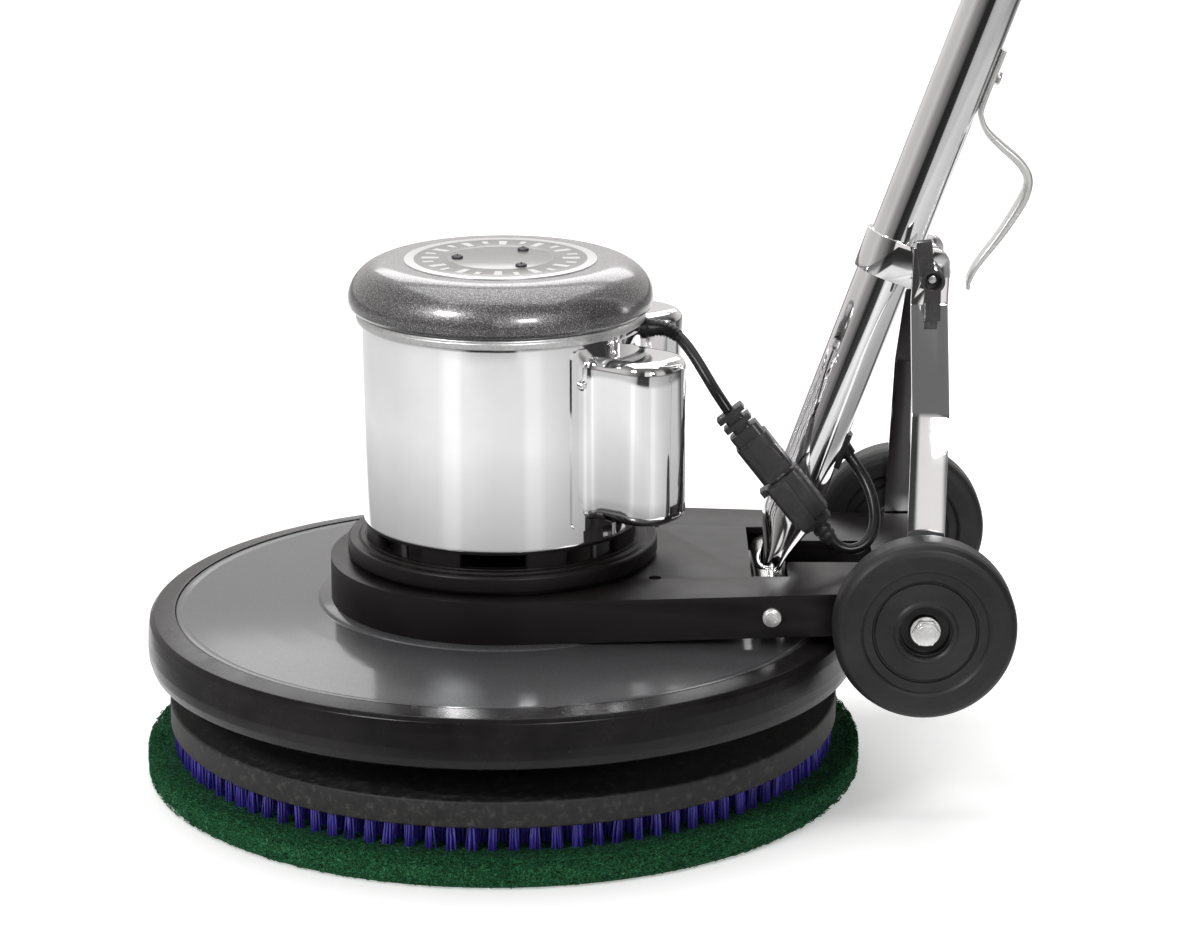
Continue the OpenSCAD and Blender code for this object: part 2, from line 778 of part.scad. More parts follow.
module handle_tube() {
    wide = tube_radius + 1;
    color("gainsboro") on_handle() difference() {
        union() {
            intersection() {
                translate([0, 0, 12]) cylinder(r = tube_radius, h = tube_length - 12);
                translate([0, 50, 0]) rotate([90, 0, 0]) linear_extrude(height = 100)
                    polygon([[-foot_half_t, 0], [foot_half_t, 0], [foot_half_t, 12], [wide, foot_top_s + 2],
                        [wide, tube_length + 10], [-wide, tube_length + 10], [-wide, foot_top_s + 2],
                        [-foot_half_t, 12]]);
            }
            translate([0, 0, 2]) rounded_box([2 * foot_half_t, foot_width, 20], 7);
        }
        translate([0, 0, foot_top_s]) cylinder(r = tube_radius - tube_wall, h = tube_length);
        along_y(sleeve_r, -60, 60);
        translate([17.05, 0, 106.1]) rotate([0, gland_turn - lean, 0]) translate([0, 0, -10])
            cylinder(r = 4.5, h = 20);
        translate([0, 0, bar_s]) along_y(bar_r, -40, 40);
        for (s = hook_s) along_x(hook_screw_r, 0, 40, s);
    }
}

module pivot_sleeve() {
    color("silver") translate(pivot) difference() {
        along_y(sleeve_r, -57, 57);
        along_y(pin_radius + fit_gap, -60, 60);
    }
}

module lead_gland() {
    color("black") difference() {
        union() {
            on_handle() intersection() {
                translate([tube_radius - 4, -8, 90]) cube([9, 16, 26]);
                translate([0, 0, 90]) cylinder(r = tube_radius + 2.6, h = 26);
            }
            translate(gland_tip) rotate([0, gland_turn, 0]) translate([0, 0, -9]) cylinder(r = 5.6, h = 9);
        }
        on_handle() translate([0, 0, 60]) cylinder(r = tube_radius, h = 100);
    }
}

module handle_lead() {
    color("black") sweep(smooth(handle_lead_route, 3), lead_radius,
        [sin(plug_turn), 0, cos(plug_turn)], [-sin(gland_turn), 0, -cos(gland_turn)]);
}

// outline of a cord hook's strip, as distance along and behind the tube
hook_line = [[20.8, 20], [20.8, -20], [23.4, -29], [31, -36.5], [44, -42.5], [58, -48], [67.5, -55],
             [71.2, -65], [70.6, -78], [65.6, -101], [58.8, -124], [57, -137], [58.4, -143.5]];
// half thickness of the strip at each point: thin at the bolt, thick in the bend, tapering at the tip
hook_half = [1.7, 1.7, 1.9, 2.3, 2.7, 3, 3.2, 3.2, 3.1, 2.6, 2, 1.6, 1.2];
function strip(line, half) =
    let (n = len(line) - 1,
         normal = [for (i = [0 : n]) let (d = unit(line[min(i + 1, n)] - line[max(i - 1, 0)])) [-d[1], d[0]]])
    concat([for (i = [0 : n]) line[i] + half[i] * normal[i]],
           [for (i = [n : -1 : 0]) line[i] - half[i] * normal[i]]);

module cord_hook() {
    difference() {
        translate([0, 7, 0]) rotate([90, 0, 0]) linear_extrude(height = 14)
            polygon(strip(hook_line, hook_half));
        along_x(hook_screw_r, 15, 27);
    }
}

module cord_hooks() {
    color("gainsboro") on_handle() {
        translate([0, 0, hook_s[0]]) cord_hook();
        translate([0, 0, hook_s[1]]) mirror([0, 0, 1]) cord_hook();
    }
}

module hook_screws() {
    color("silver") on_handle() for (s = hook_s) {
        along_x(hook_screw_r, 14, 24, s);
        along_x(5, 22.5, 26, s, $fn = 6);
    }
}

module clamp_band() {
    in_r = tube_radius + 0.05;
    out_r = in_r + 3;
    color("gainsboro") on_handle() difference() {
        intersection() {
            translate([0, 0, 231]) linear_extrude(height = 28) difference() {
                union() {
                    circle(r = out_r);
                    translate([0, -out_r]) square([41, 2 * out_r]);
                }
                circle(r = in_r);
                translate([0, -in_r]) square([50, 2 * in_r]);
            }
            translate([0, 60, 0]) rotate([90, 0, 0]) linear_extrude(height = 120) union() {
                translate([-40, 225]) square([69, 40]);
                translate([29, 225]) square([12, 22]);
                translate([29, 247]) circle(r = 12);
            }
        }
        translate([clamp_t, 0, clamp_s]) along_y(bolt_radius, -60, 60);
    }
}

module clamp_bolt() {
    color("silver") translate(clamp_bolt) {
        along_y(bolt_radius, -39, 30);
        translate([0, 30.6, 0]) rotate([90, 0, 0]) cylinder(r = 6.5, h = 4, $fn = 6);
    }
}

module clamp_lever() {
    color("black") translate(clamp_bolt) difference() {
        union() {
            along_y(8.2, -46, -27);
            translate([-9, -44.5, 0]) rotate([0, -6, 0]) translate([0, 0, 4]) cube([10.5, 8, 23]);
            translate([-5, -44.5, -28]) cube([10.5, 8, 25]);
        }
        along_y(6.2, -50, -36);
        along_y(bolt_radius + fit_gap, -50, -20);
    }
}

// outline of a brace leg seen along X, as distance from the middle and along the brace
leg_line = [[22.6, 250], [22.6, 202.6], [23.8, 200], [77.6, 138], [79, 135.2], [96.8, 32], [97.9, 26],
            [97.9, -20], [101.9, -20], [101.9, 26.3], [100.8, 32.6], [82.9, 136.4], [80.8, 140],
            [27.3, 201.8], [26.6, 203.4], [26.6, 250]];

module brace_leg(side) {
    intersection() {
        translate([-30, 0, 0]) rotate([90, 0, 90]) linear_extrude(height = 60)
            polygon([for (p = leg_line) [side * p[0], p[1]]]);
        translate([0, 120, 0]) rotate([90, 0, 0]) linear_extrude(height = 240) difference() {
            union() {
                translate([-brace_width / 2, 0]) square([brace_width, brace_length + 8]);
                translate([-brace_width / 2, brace_length]) square([brace_width - 11, 19]);
                translate([brace_width / 2 - 11, brace_length + 8]) circle(r = 11);
                translate(foot_hole) circle(r = foot_hole_r + 6);
            }
            translate(foot_hole) circle(r = foot_hole_r);
        }
    }
}

module brace() {
    color("gainsboro") on_brace() difference() {
        for (side = [-1, 1]) brace_leg(side);
        translate([0, 0, brace_length]) along_y(bolt_radius + fit_gap, -60, 60);
    }
}

// ---- switch box and grips ----

module switch_box() {
    color([0.12, 0.12, 0.13]) on_handle() difference() {
        union() {
            translate([0, 0, box_s]) rounded_box([2 * box_half_t, 2 * box_half_y, box_height], 9);
            translate([0, 0, box_s - 26]) cylinder(r = tube_radius + 4, h = 30);
            translate([post_t, post_y, box_s - 16]) cylinder(r = 8, h = 18);
            translate([post_t, post_y, box_s - 24]) cylinder(r = 6.5, h = 10);
        }
        difference() {
            translate([0, 0, box_s + 3.5])
                rounded_box([2 * box_half_t - 7, 2 * box_half_y - 7, box_height - 7], 6);
            translate([0, 0, box_s]) cylinder(r = tube_radius + 4, h = 24);
            translate([0, 0, bar_s]) along_y(15, -box_half_y, -30);
            translate([0, 0, bar_s]) along_y(15, 30, box_half_y);
        }
        translate([0, 0, box_s - 40]) cylinder(r = tube_radius, h = tube_length - box_s + 40);
        translate([0, 0, bar_s]) along_y(bar_r, -box_half_y - 10, box_half_y + 10);
        translate([trigger_t, 0, trigger_s]) along_y(trigger_r + 0.05, -box_half_y - 10, box_half_y + 10);
        translate([post_t, post_y, box_s - 30]) cylinder(r = 4, h = 40);
        along_x(button_r + 0.05, box_half_t - 8, box_half_t + 12, bar_s);
    }
}

module power_switch() {
    color("darkred") on_handle() translate([3.5 - box_half_t, -18, trigger_s - 7]) cube([33, 36, 21]);
}

module lock_button() {
    color("gold") on_handle() {
        along_x(button_r, 20, box_half_t + 6, bar_s);
        along_x(8.8, 20, 22, bar_s);
    }
}

module handlebar() {
    color("gainsboro") on_handle() translate([0, 0, bar_s]) difference() {
        along_y(bar_r, -grip_end + 3, grip_end - 3);
        along_y(bar_r - 2, -grip_end - 3, grip_end + 3);
    }
}

module grips() {
    color("black") on_handle() translate([0, 0, bar_s]) for (s = [-1, 1]) scale([1, s, 1]) difference() {
        union() {
            along_y(16, grip_start, grip_end);
            along_y(19, grip_start, grip_start + 5);
            along_y(17.5, grip_end - 6, grip_end);
        }
        along_y(bar_r, grip_start - 3, grip_end - 3);
    }
}

module triggers() {
    color("black") on_handle() translate([trigger_t, 0, trigger_s]) {
        along_y(trigger_r, -box_half_y - 6, box_half_y + 6);
        for (s = [-1, 1]) scale([1, s, 1]) {
            along_y(8, box_half_y + 1.5, box_half_y + 9);
            translate([-28, box_half_y + 3, 2]) cube([30, 100, 5]);
        }
    }
}

pad();
bristles();
brush_block();
block_screws();
clutch_plate();
drive_hub();
hub_bolt();
output_shaft();
planet_1();
planet_2();
planet_3();
rotor_shaft();
rotor_core();
cooling_fan();
apron();
bumper();
chassis();
gear_case();
ring_gear();
output_bearing();
motor_flange();
through_bolts();
motor_bearings();
motor_shell();
top_bell();
motor_cap();
cap_badge();
cap_screws();
stator_core();
stator_windings();
capacitor_cover_near();
capacitor_cover_far();
capacitors();
cover_screws();
motor_bushing();
motor_lead();
lead_plug();
plug_blades();
lead_connector();
pivot_pin();
axle_shaft();
axle_nuts();
wheel_near();
wheel_far();
handle_tube();
pivot_sleeve();
lead_gland();
handle_lead();
cord_hooks();
hook_screws();
clamp_band();
clamp_bolt();
clamp_lever();
brace();
switch_box();
power_switch();
lock_button();
handlebar();
grips();
triggers();
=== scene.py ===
import json
import math
import random

import bmesh
import bpy
from mathutils import Matrix, Vector, noise


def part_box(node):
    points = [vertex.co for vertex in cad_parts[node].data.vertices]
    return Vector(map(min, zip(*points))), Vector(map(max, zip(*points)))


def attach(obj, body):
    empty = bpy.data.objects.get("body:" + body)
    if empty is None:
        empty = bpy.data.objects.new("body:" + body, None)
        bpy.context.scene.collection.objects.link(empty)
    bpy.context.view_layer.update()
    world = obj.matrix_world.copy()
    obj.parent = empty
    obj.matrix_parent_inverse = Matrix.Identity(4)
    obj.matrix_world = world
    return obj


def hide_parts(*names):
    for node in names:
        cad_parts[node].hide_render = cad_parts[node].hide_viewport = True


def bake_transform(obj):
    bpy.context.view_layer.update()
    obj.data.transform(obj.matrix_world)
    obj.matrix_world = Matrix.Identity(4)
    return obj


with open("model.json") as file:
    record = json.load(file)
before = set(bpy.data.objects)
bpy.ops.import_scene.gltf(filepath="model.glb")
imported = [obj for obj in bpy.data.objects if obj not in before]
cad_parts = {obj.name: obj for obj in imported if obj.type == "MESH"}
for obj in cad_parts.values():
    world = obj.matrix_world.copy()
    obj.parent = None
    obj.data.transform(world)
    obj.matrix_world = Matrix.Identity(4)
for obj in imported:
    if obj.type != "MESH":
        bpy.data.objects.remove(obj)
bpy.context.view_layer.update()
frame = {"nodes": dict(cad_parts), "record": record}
NODES = frame["nodes"]
RECORD = frame["record"]
MM = 0.001


# ---------------------------------------------------------------- camera

def make_camera():
    """The camera that the photograph was taken with, in the part's frame."""
    place = Vector((0.0838, -2.4351, 0.9002))
    forward = Vector((-0.0051, 0.9625, -0.2711)).normalized()
    right = forward.cross(Vector((0, 0, 1))).normalized()
    up = right.cross(forward)
    data = bpy.data.cameras.new("camera")
    data.lens = 107.5
    data.sensor_width = 36.0
    data.shift_x = -0.0022
    data.shift_y = 0.0052
    data.clip_end = 200.0
    camera = bpy.data.objects.new("camera", data)
    turn = Matrix((right, up, -forward)).transposed()
    camera.matrix_world = Matrix.Translation(place) @ turn.to_4x4()
    bpy.context.scene.collection.objects.link(camera)
    bpy.context.scene.camera = camera


make_camera()


# ---------------------------------------------------------------- material kit

class Shader:
    """A principled material whose nodes are added one after another."""

    def __init__(self, name, color, roughness, metallic=0.0, **values):
        self.material = bpy.data.materials.new(name)
        self.material.use_nodes = True
        self.tree = self.material.node_tree
        self.bsdf = self.tree.nodes["Principled BSDF"]
        self.set("Base Color", (*color, 1.0))
        self.set("Roughness", roughness)
        self.set("Metallic", metallic)
        for socket, value in values.items():
            self.set(socket.replace("_", " "), value)
        self.coordinates = self.tree.nodes.new("ShaderNodeTexCoord").outputs["Object"]
        self.normal = None

    def set(self, socket, value):
        self.bsdf.inputs[socket].default_value = value

    def link(self, output, target):
        self.tree.links.new(output, target)

    def stretched(self, scale):
        """Object coordinates scaled along each axis."""
        node = self.tree.nodes.new("ShaderNodeMapping")
        node.inputs["Scale"].default_value = scale
        self.link(self.coordinates, node.inputs["Vector"])
        return node.outputs["Vector"]

    def noise(self, scale, detail=3.0, rough=0.55, where=None, distortion=0.0):
        node = self.tree.nodes.new("ShaderNodeTexNoise")
        node.inputs["Scale"].default_value = scale
        node.inputs["Detail"].default_value = detail
        node.inputs["Roughness"].default_value = rough
        node.inputs["Distortion"].default_value = distortion
        self.link(where or self.coordinates, node.inputs["Vector"])
        return node.outputs["Fac"]

    def cells(self, scale, feature="F1"):
        node = self.tree.nodes.new("ShaderNodeTexVoronoi")
        node.feature = feature
        node.inputs["Scale"].default_value = scale
        self.link(self.coordinates, node.inputs["Vector"])
        return node

    def ramp(self, factor, *stops):
        """stops are (position, colour or grey level)."""
        node = self.tree.nodes.new("ShaderNodeValToRGB")
        marks = node.color_ramp.elements
        while len(marks) < len(stops):
            marks.new(0.5)
        for mark, (position, value) in zip(marks, stops):
            mark.position = position
            shade = value if hasattr(value, "__len__") else (value, value, value)
            mark.color = (*shade, 1.0)
        self.link(factor, node.inputs["Fac"])
        return node.outputs["Color"]

    def mix(self, factor, a, b, blend="MIX"):
        node = self.tree.nodes.new("ShaderNodeMix")
        node.data_type = "RGBA"
        node.blend_type = blend
        for value, socket in ((factor, node.inputs[0]), (a, node.inputs[6]), (b, node.inputs[7])):
            if isinstance(value, bpy.types.NodeSocket):
                self.link(value, socket)
            elif hasattr(value, "__len__"):
                socket.default_value = (*value, 1.0)
            else:
                socket.default_value = value
        return node.outputs[2]

    def span(self, value, low, high, start=0.3, end=0.7):
        node = self.tree.nodes.new("ShaderNodeMapRange")
        for name, number in (("From Min", start), ("From Max", end), ("To Min", low), ("To Max", high)):
            node.inputs[name].default_value = number
        self.link(value, node.inputs["Value"])
        return node.outputs["Result"]

    def color(self, output):
        self.link(output, self.bsdf.inputs["Base Color"])
        return self

    def roughness(self, output):
        self.link(output, self.bsdf.inputs["Roughness"])
        return self

    def bump(self, height, strength, distance):
        node = self.tree.nodes.new("ShaderNodeBump")
        node.inputs["Strength"].default_value = strength
        node.inputs["Distance"].default_value = distance
        self.link(height, node.inputs["Height"])
        if self.normal is not None:
            self.link(self.normal, node.inputs["Normal"])
        self.normal = node.outputs["Normal"]
        self.link(self.normal, self.bsdf.inputs["Normal"])
        return self


def mirror_chrome():
    s = Shader("mirror_chrome", (0.9, 0.9, 0.91), 0.04, 1.0)
    haze = s.noise(38, 5)
    s.roughness(s.span(haze, 0.02, 0.075))
    s.color(s.ramp(s.noise(16, 4), (0.3, (0.86, 0.86, 0.87)), (0.7, (0.94, 0.94, 0.945))))
    return s.bump(s.noise(20, 1), 0.012, 0.0005)


def hammertone():
    s = Shader("hammertone", (0.14, 0.136, 0.14), 0.34, 0.55, Coat_Weight=0.8, Coat_Roughness=0.11)
    grain = s.noise(1150, 3, 0.7)
    flakes = s.cells(760)
    base = s.ramp(grain, (0.34, (0.042, 0.041, 0.043)), (0.52, (0.125, 0.121, 0.125)),
                  (0.68, (0.46, 0.452, 0.45)))
    glint = s.ramp(flakes.outputs["Distance"], (0.04, 0.75), (0.16, 0.0))
    s.color(s.mix(0.5, base, glint, "ADD"))
    s.roughness(s.span(grain, 0.28, 0.46))
    s.bump(s.noise(420, 2), 0.25, 0.0005)
    return s.bump(grain, 0.2, 0.00025)


def apron_paint():
    """The hammertone under a glossy clear coat, as on the apron's flat face."""
    s = Shader("apron_gloss", (0.05, 0.05, 0.054), 0.5, 0.35, Coat_Weight=0.5, Coat_Roughness=0.12)
    grain = s.noise(1150, 3, 0.7)
    s.color(s.ramp(grain, (0.34, (0.03, 0.03, 0.034)), (0.54, (0.056, 0.056, 0.06)),
                   (0.7, (0.13, 0.13, 0.132))))
    s.roughness(s.span(grain, 0.42, 0.58))
    s.bump(s.noise(420, 2), 0.12, 0.0003)
    return s.bump(grain, 0.12, 0.0002)


def chassis_paint():
    s = Shader("chassis_paint", (0.011, 0.009, 0.009), 0.4, Specular_IOR_Level=0.2)
    s.color(s.ramp(s.noise(30, 5), (0.3, (0.0078, 0.0058, 0.0062)), (0.72, (0.012, 0.0092, 0.0094))))
    grain = s.noise(1500, 3, 0.6)
    s.roughness(s.span(s.noise(60, 3), 0.37, 0.42))
    return s.bump(grain, 0.16, 0.0002)


def rubber(name, color, low, high, grain=900, strength=0.12, shine=0.32):
    s = Shader(name, color, (low + high) / 2, Specular_IOR_Level=shine)
    dust = tuple(c * 1.7 + 0.006 for c in color)
    s.color(s.ramp(s.noise(24, 6, 0.62), (0.35, color), (0.75, dust)))
    s.roughness(s.span(s.noise(45, 5), low, high))
    return s.bump(s.noise(grain, 3), strength, 0.0003)


def mottled_block():
    s = Shader("brush_block", (0.028, 0.026, 0.026), 0.6, Specular_IOR_Level=0.35)
    patches = s.noise(160, 6, 0.68)
    s.color(s.ramp(patches, (0.36, (0.006, 0.0056, 0.0056)), (0.54, (0.021, 0.0196, 0.0196)),
                   (0.74, (0.085, 0.081, 0.078))))
    s.roughness(s.span(patches, 0.48, 0.75))
    return s.bump(s.noise(620, 4), 0.35, 0.0005)


def blue_bristle():
    s = Shader("blue_bristle", (0.03, 0.016, 0.3), 0.3, IOR=1.5, Subsurface_Weight=0.15)
    s.set("Subsurface Radius", (0.002, 0.0015, 0.004))
    s.set("Subsurface Scale", 1.0)
    streak = s.noise(260, 3, 0.6, s.stretched((1, 1, 0.1)))
    s.color(s.ramp(streak, (0.3, (0.02, 0.013, 0.17)), (0.55, (0.062, 0.042, 0.46)),
                   (0.78, (0.2, 0.17, 0.76))))
    return s.bump(streak, 0.1, 0.0002)


def green_pad(name, lift):
    s = Shader(name, (0.012, 0.08, 0.032), 0.9, Specular_IOR_Level=0.12)
    web = s.cells(420, "DISTANCE_TO_EDGE")
    fuzz = s.noise(620, 5, 0.75, distortion=1.4)
    greens = s.ramp(fuzz, (0.38, (0.001, 0.005, 0.002)), (0.47, (0.006 * lift, 0.044 * lift, 0.018 * lift)),
                    (0.57, (0.02 * lift, 0.11 * lift, 0.044 * lift)),
                    (0.66, (0.075 * lift, 0.27 * lift, 0.11 * lift)))
    # painted shade: the recessed holes of the web are darkened
    painted_hole_shade = s.ramp(web.outputs["Distance"], (0.02, 1.0), (0.3, 0.3))
    s.color(s.mix(0.75, greens, s.mix(1.0, greens, painted_hole_shade, "MULTIPLY")))
    s.bump(web.outputs["Distance"], 0.5, -0.0012)
    return s.bump(fuzz, 0.9, 0.0015)


def plastic(name, color, roughness):
    s = Shader(name, color, roughness, Specular_IOR_Level=0.42)
    pale = tuple(c * 1.5 + 0.004 for c in color)
    s.color(s.ramp(s.noise(70, 4), (0.35, color), (0.75, pale)))
    s.roughness(s.span(s.noise(90, 4), roughness - 0.06, roughness + 0.1))
    return s.bump(s.noise(1400, 2), 0.14, 0.00018)


def steel(name, color, roughness, turned=(1, 1, 12)):
    s = Shader(name, color, roughness, 1.0)
    lines = s.noise(420, 4, 0.6, s.stretched(turned))
    dark = tuple(c * 0.78 for c in color)
    s.color(s.ramp(lines, (0.3, dark), (0.7, color)))
    s.roughness(s.span(lines, roughness - 0.07, roughness + 0.1))
    return s.bump(lines, 0.08, 0.0001)


def silver_print(name, low, high):
    s = Shader(name, low, 0.3, 0.25, Coat_Weight=0.5, Coat_Roughness=0.1)
    s.color(s.ramp(s.noise(900, 3), (0.3, low), (0.7, high)))
    return s.bump(s.noise(1300, 2), 0.06, 0.0001)


def satin_silver():
    s = Shader("satin_silver", (0.82, 0.82, 0.81), 0.28, 0.6, Specular_IOR_Level=0.5)
    cloud = s.noise(60, 3)
    s.color(s.ramp(cloud, (0.3, (0.79, 0.79, 0.785)), (0.7, (0.86, 0.86, 0.85))))
    return s.roughness(s.span(cloud, 0.25, 0.31))


def windings():
    s = Shader("copper_winding", (0.5, 0.2, 0.08), 0.3, 0.9)
    strands = s.noise(900, 3, 0.6, s.stretched((1, 1, 0.15)))
    s.color(s.ramp(strands, (0.35, (0.2, 0.07, 0.03)), (0.7, (0.72, 0.34, 0.15))))
    return s.bump(strands, 0.6, 0.0006)


def laminated():
    s = Shader("lamination", (0.2, 0.2, 0.21), 0.5, 0.8)
    sheets = s.noise(900, 2, 0.6, s.stretched((0.02, 0.02, 1)))
    s.color(s.ramp(sheets, (0.35, (0.1, 0.1, 0.105)), (0.7, (0.34, 0.34, 0.35))))
    return s.bump(sheets, 0.5, 0.0004)


SHADERS = {
    "green_pad": green_pad("green_pad", 1.8),
    "blue_bristle": blue_bristle(),
    "brush_block": mottled_block(),
    "hammertone": hammertone(),
    "bumper_rubber": rubber("bumper_rubber", (0.0078, 0.0066, 0.0074), 0.2, 0.3, shine=0.19),
    "chassis_paint": chassis_paint(),
    "mirror_chrome": mirror_chrome(),
    "zinc_steel": steel("zinc_steel", (0.68, 0.68, 0.66), 0.24),
    "machined_steel": steel("machined_steel", (0.56, 0.56, 0.56), 0.32),
    "gear_bronze": steel("gear_bronze", (0.66, 0.46, 0.2), 0.34),
    "lamination": laminated(),
    "copper_winding": windings(),
    "cast_aluminium": steel("cast_aluminium", (0.74, 0.74, 0.74), 0.38, (1, 1, 1)),
    "badge_print": silver_print("badge_print", (0.5, 0.5, 0.51), (0.66, 0.66, 0.67)),
    "cord_rubber": rubber("cord_rubber", (0.011, 0.011, 0.012), 0.24, 0.38, 1500, 0.06),
    "black_plastic": plastic("black_plastic", (0.046, 0.044, 0.047), 0.28),
    "wheel_rubber": rubber("wheel_rubber", (0.014, 0.0132, 0.0135), 0.4, 0.56, 700, 0.16),
    "grip_rubber": rubber("grip_rubber", (0.014, 0.014, 0.014), 0.5, 0.66, 1100, 0.2),
    "button_yellow": plastic("button_yellow", (0.72, 0.46, 0.03), 0.26),
    "switch_body": plastic("switch_body", (0.24, 0.012, 0.012), 0.26),
}
MATERIALS = {slot: shader.material for slot, shader in SHADERS.items()}
SLOT_OF = {row["node"]: row["material_slot"] for row in RECORD["subparts"]}
BODY_OF = {node: body for body, nodes in RECORD["behaviour"]["bodies"].items() for node in nodes}
DARK_STEEL = steel("dark_steel", (0.1, 0.1, 0.104), 0.46).material
SILVER = satin_silver().material


def dress_frame():
    for node, thing in NODES.items():
        thing.data.materials.clear()
        thing.data.materials.append(DARK_STEEL if node == "through_bolts" else MATERIALS[SLOT_OF[node]])


dress_frame()


# ---------------------------------------------------------------- mesh kit

def soften(mesh, angle=32.0):
    """Smooth shading with sharp edges kept where faces meet at more than angle."""
    mesh.shade_smooth()
    mesh.set_sharp_from_angle(angle=math.radians(angle))


def piece(name, mesh, node, material=None, angle=32.0, replace=True):
    """A new piece in the place of a CAD node, on the node's body and in its slot."""
    if not mesh.polygons:
        raise ValueError(name + " has no faces")
    thing = bpy.data.objects.new(name, mesh)
    bpy.context.scene.collection.objects.link(thing)
    slot = SLOT_OF[node]
    mesh.materials.clear()
    mesh.materials.append(material or MATERIALS[slot])
    soften(mesh, angle)
    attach(thing, BODY_OF[node])
    if replace:
        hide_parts(node)
    return thing


def closed(work, name):
    """Ends a bmesh: one outward-facing mesh."""
    bmesh.ops.recalc_face_normals(work, faces=work.faces)
    mesh = bpy.data.meshes.new(name)
    work.to_mesh(mesh)
    work.free()
    return mesh


def fillets(points, closed_line=False, steps=5):
    """points are (a, b) or (a, b, radius): a polyline whose corners with a radius become arcs."""
    line = []
    count = len(points)
    for i, point in enumerate(points):
        here = Vector(point[:2])
        radius = point[2] if len(point) > 2 else 0.0
        ends = not closed_line and i in (0, count - 1)
        if radius <= 0 or ends:
            line.append(here)
            continue
        back = Vector(points[i - 1][:2]) - here
        ahead = Vector(points[(i + 1) % count][:2]) - here
        half = back.angle(ahead) / 2
        reach = min(radius / math.tan(half), 0.49 * back.length, 0.49 * ahead.length)
        radius = reach * math.tan(half)
        start = here + back.normalized() * reach
        middle = here + (back.normalized() + ahead.normalized()).normalized() * radius / math.sin(half)
        first = start - middle
        sweep = (math.pi - 2 * half) * (1 if back.x * ahead.y - back.y * ahead.x < 0 else -1)
        for k in range(steps + 1):
            a = sweep * k / steps
            line.append(middle + Vector((first.x * math.cos(a) - first.y * math.sin(a),
                                         first.x * math.sin(a) + first.y * math.cos(a))))
    return line


def lathe_into(work, line, segments, place=None):
    """Turns a profile of (radius, height) in millimetres about Z, closed where it ends on the axis."""
    place = place or Matrix.Identity(4)
    rings = []
    for r, z in line:
        if r < 1e-6:
            rings.append([work.verts.new(place @ Vector((0, 0, z * MM)))])
            continue
        rings.append([work.verts.new(place @ Vector((r * MM * math.cos(2 * math.pi * k / segments),
                                                     r * MM * math.sin(2 * math.pi * k / segments), z * MM)))
                      for k in range(segments)])
    pairs = list(zip(rings, rings[1:]))
    if len(rings[0]) > 1 and len(rings[-1]) > 1:
        pairs.append((rings[-1], rings[0]))
    for low, high in pairs:
        for k in range(segments):
            n = (k + 1) % segments
            if len(low) == 1 and len(high) == 1:
                continue
            if len(low) == 1:
                work.faces.new((low[0], high[n], high[k]))
            elif len(high) == 1:
                work.faces.new((low[k], low[n], high[0]))
            else:
                work.faces.new((low[k], low[n], high[n], high[k]))


def lathe(name, points, segments=256, place=None, closed_line=True):
    work = bmesh.new()
    lathe_into(work, fillets(points, closed_line), segments, place)
    return closed(work, name)


def about_y(centre, side=1):
    """A place whose Z axis is the part's Y axis (side 1) or its opposite."""
    return Matrix.Translation(centre) @ Matrix.Rotation(-side * math.pi / 2, 4, "X")


def join_meshes(name, *parts):
    work = bmesh.new()
    for part in parts:
        work.from_mesh(part)
        bpy.data.meshes.remove(part)
    return closed(work, name)


def refined(node, width, segments=3, angle=34.0):
    """A copy of a CAD node's mesh with its faces merged and its hard edges rounded."""
    work = bmesh.new()
    work.from_mesh(NODES[node].data)
    bmesh.ops.remove_doubles(work, verts=work.verts, dist=0.02 * MM)
    bmesh.ops.dissolve_limit(work, angle_limit=math.radians(0.6), verts=work.verts, edges=work.edges)
    mesh = bpy.data.meshes.new(node + "_rounded")
    work.to_mesh(mesh)
    work.free()
    thing = bpy.data.objects.new("rounding", mesh)
    bpy.context.scene.collection.objects.link(thing)
    bevel = thing.modifiers.new("bevel", "BEVEL")
    bevel.width = width * MM
    bevel.segments = segments
    bevel.limit_method = "ANGLE"
    bevel.angle_limit = math.radians(angle)
    bevel.use_clamp_overlap = True
    return baked(thing, node)


def baked(thing, name):
    """The mesh that an object's modifiers make; the object itself is removed."""
    graph = bpy.context.evaluated_depsgraph_get()
    mesh = bpy.data.meshes.new_from_object(thing.evaluated_get(graph))
    mesh.name = name
    bpy.data.objects.remove(thing)
    return mesh


def cut(mesh, cutter, name):
    """mesh with cutter's volume taken away."""
    things = [bpy.data.objects.new("cutting", m) for m in (mesh, cutter)]
    for thing in things:
        bpy.context.scene.collection.objects.link(thing)
    boolean = things[0].modifiers.new("cut", "BOOLEAN")
    boolean.operation = "DIFFERENCE"
    boolean.solver = "EXACT"
    boolean.object = things[1]
    result = baked(things[0], name)
    bpy.data.objects.remove(things[1])
    return result


def smooth_route(points, steps):
    """The same curve through the route's points as the CAD cord follows."""
    points = [Vector(p) for p in points]
    last = len(points) - 1
    line = []
    for i in range(last):
        a, b, c, d = points[max(i - 1, 0)], points[i], points[i + 1], points[min(i + 2, last)]
        m0 = c - b if i == 0 else (c - a) / 2
        m1 = c - b if i == last - 1 else (d - b) / 2
        for j in range(steps):
            t = j / steps
            line.append((2 * t ** 3 - 3 * t ** 2 + 1) * b + (t ** 3 - 2 * t ** 2 + t) * m0
                        + (3 * t ** 2 - 2 * t ** 3) * c + (t ** 3 - t ** 2) * m1)
    line.append(points[-1])
    return line


def tube_along(name, line, radius, sides=24):
    """A closed tube along a line; radius is a number, or a function of the distance from the start."""
    work = bmesh.new()
    add_tube(work, line, radius, sides)
    return closed(work, name)


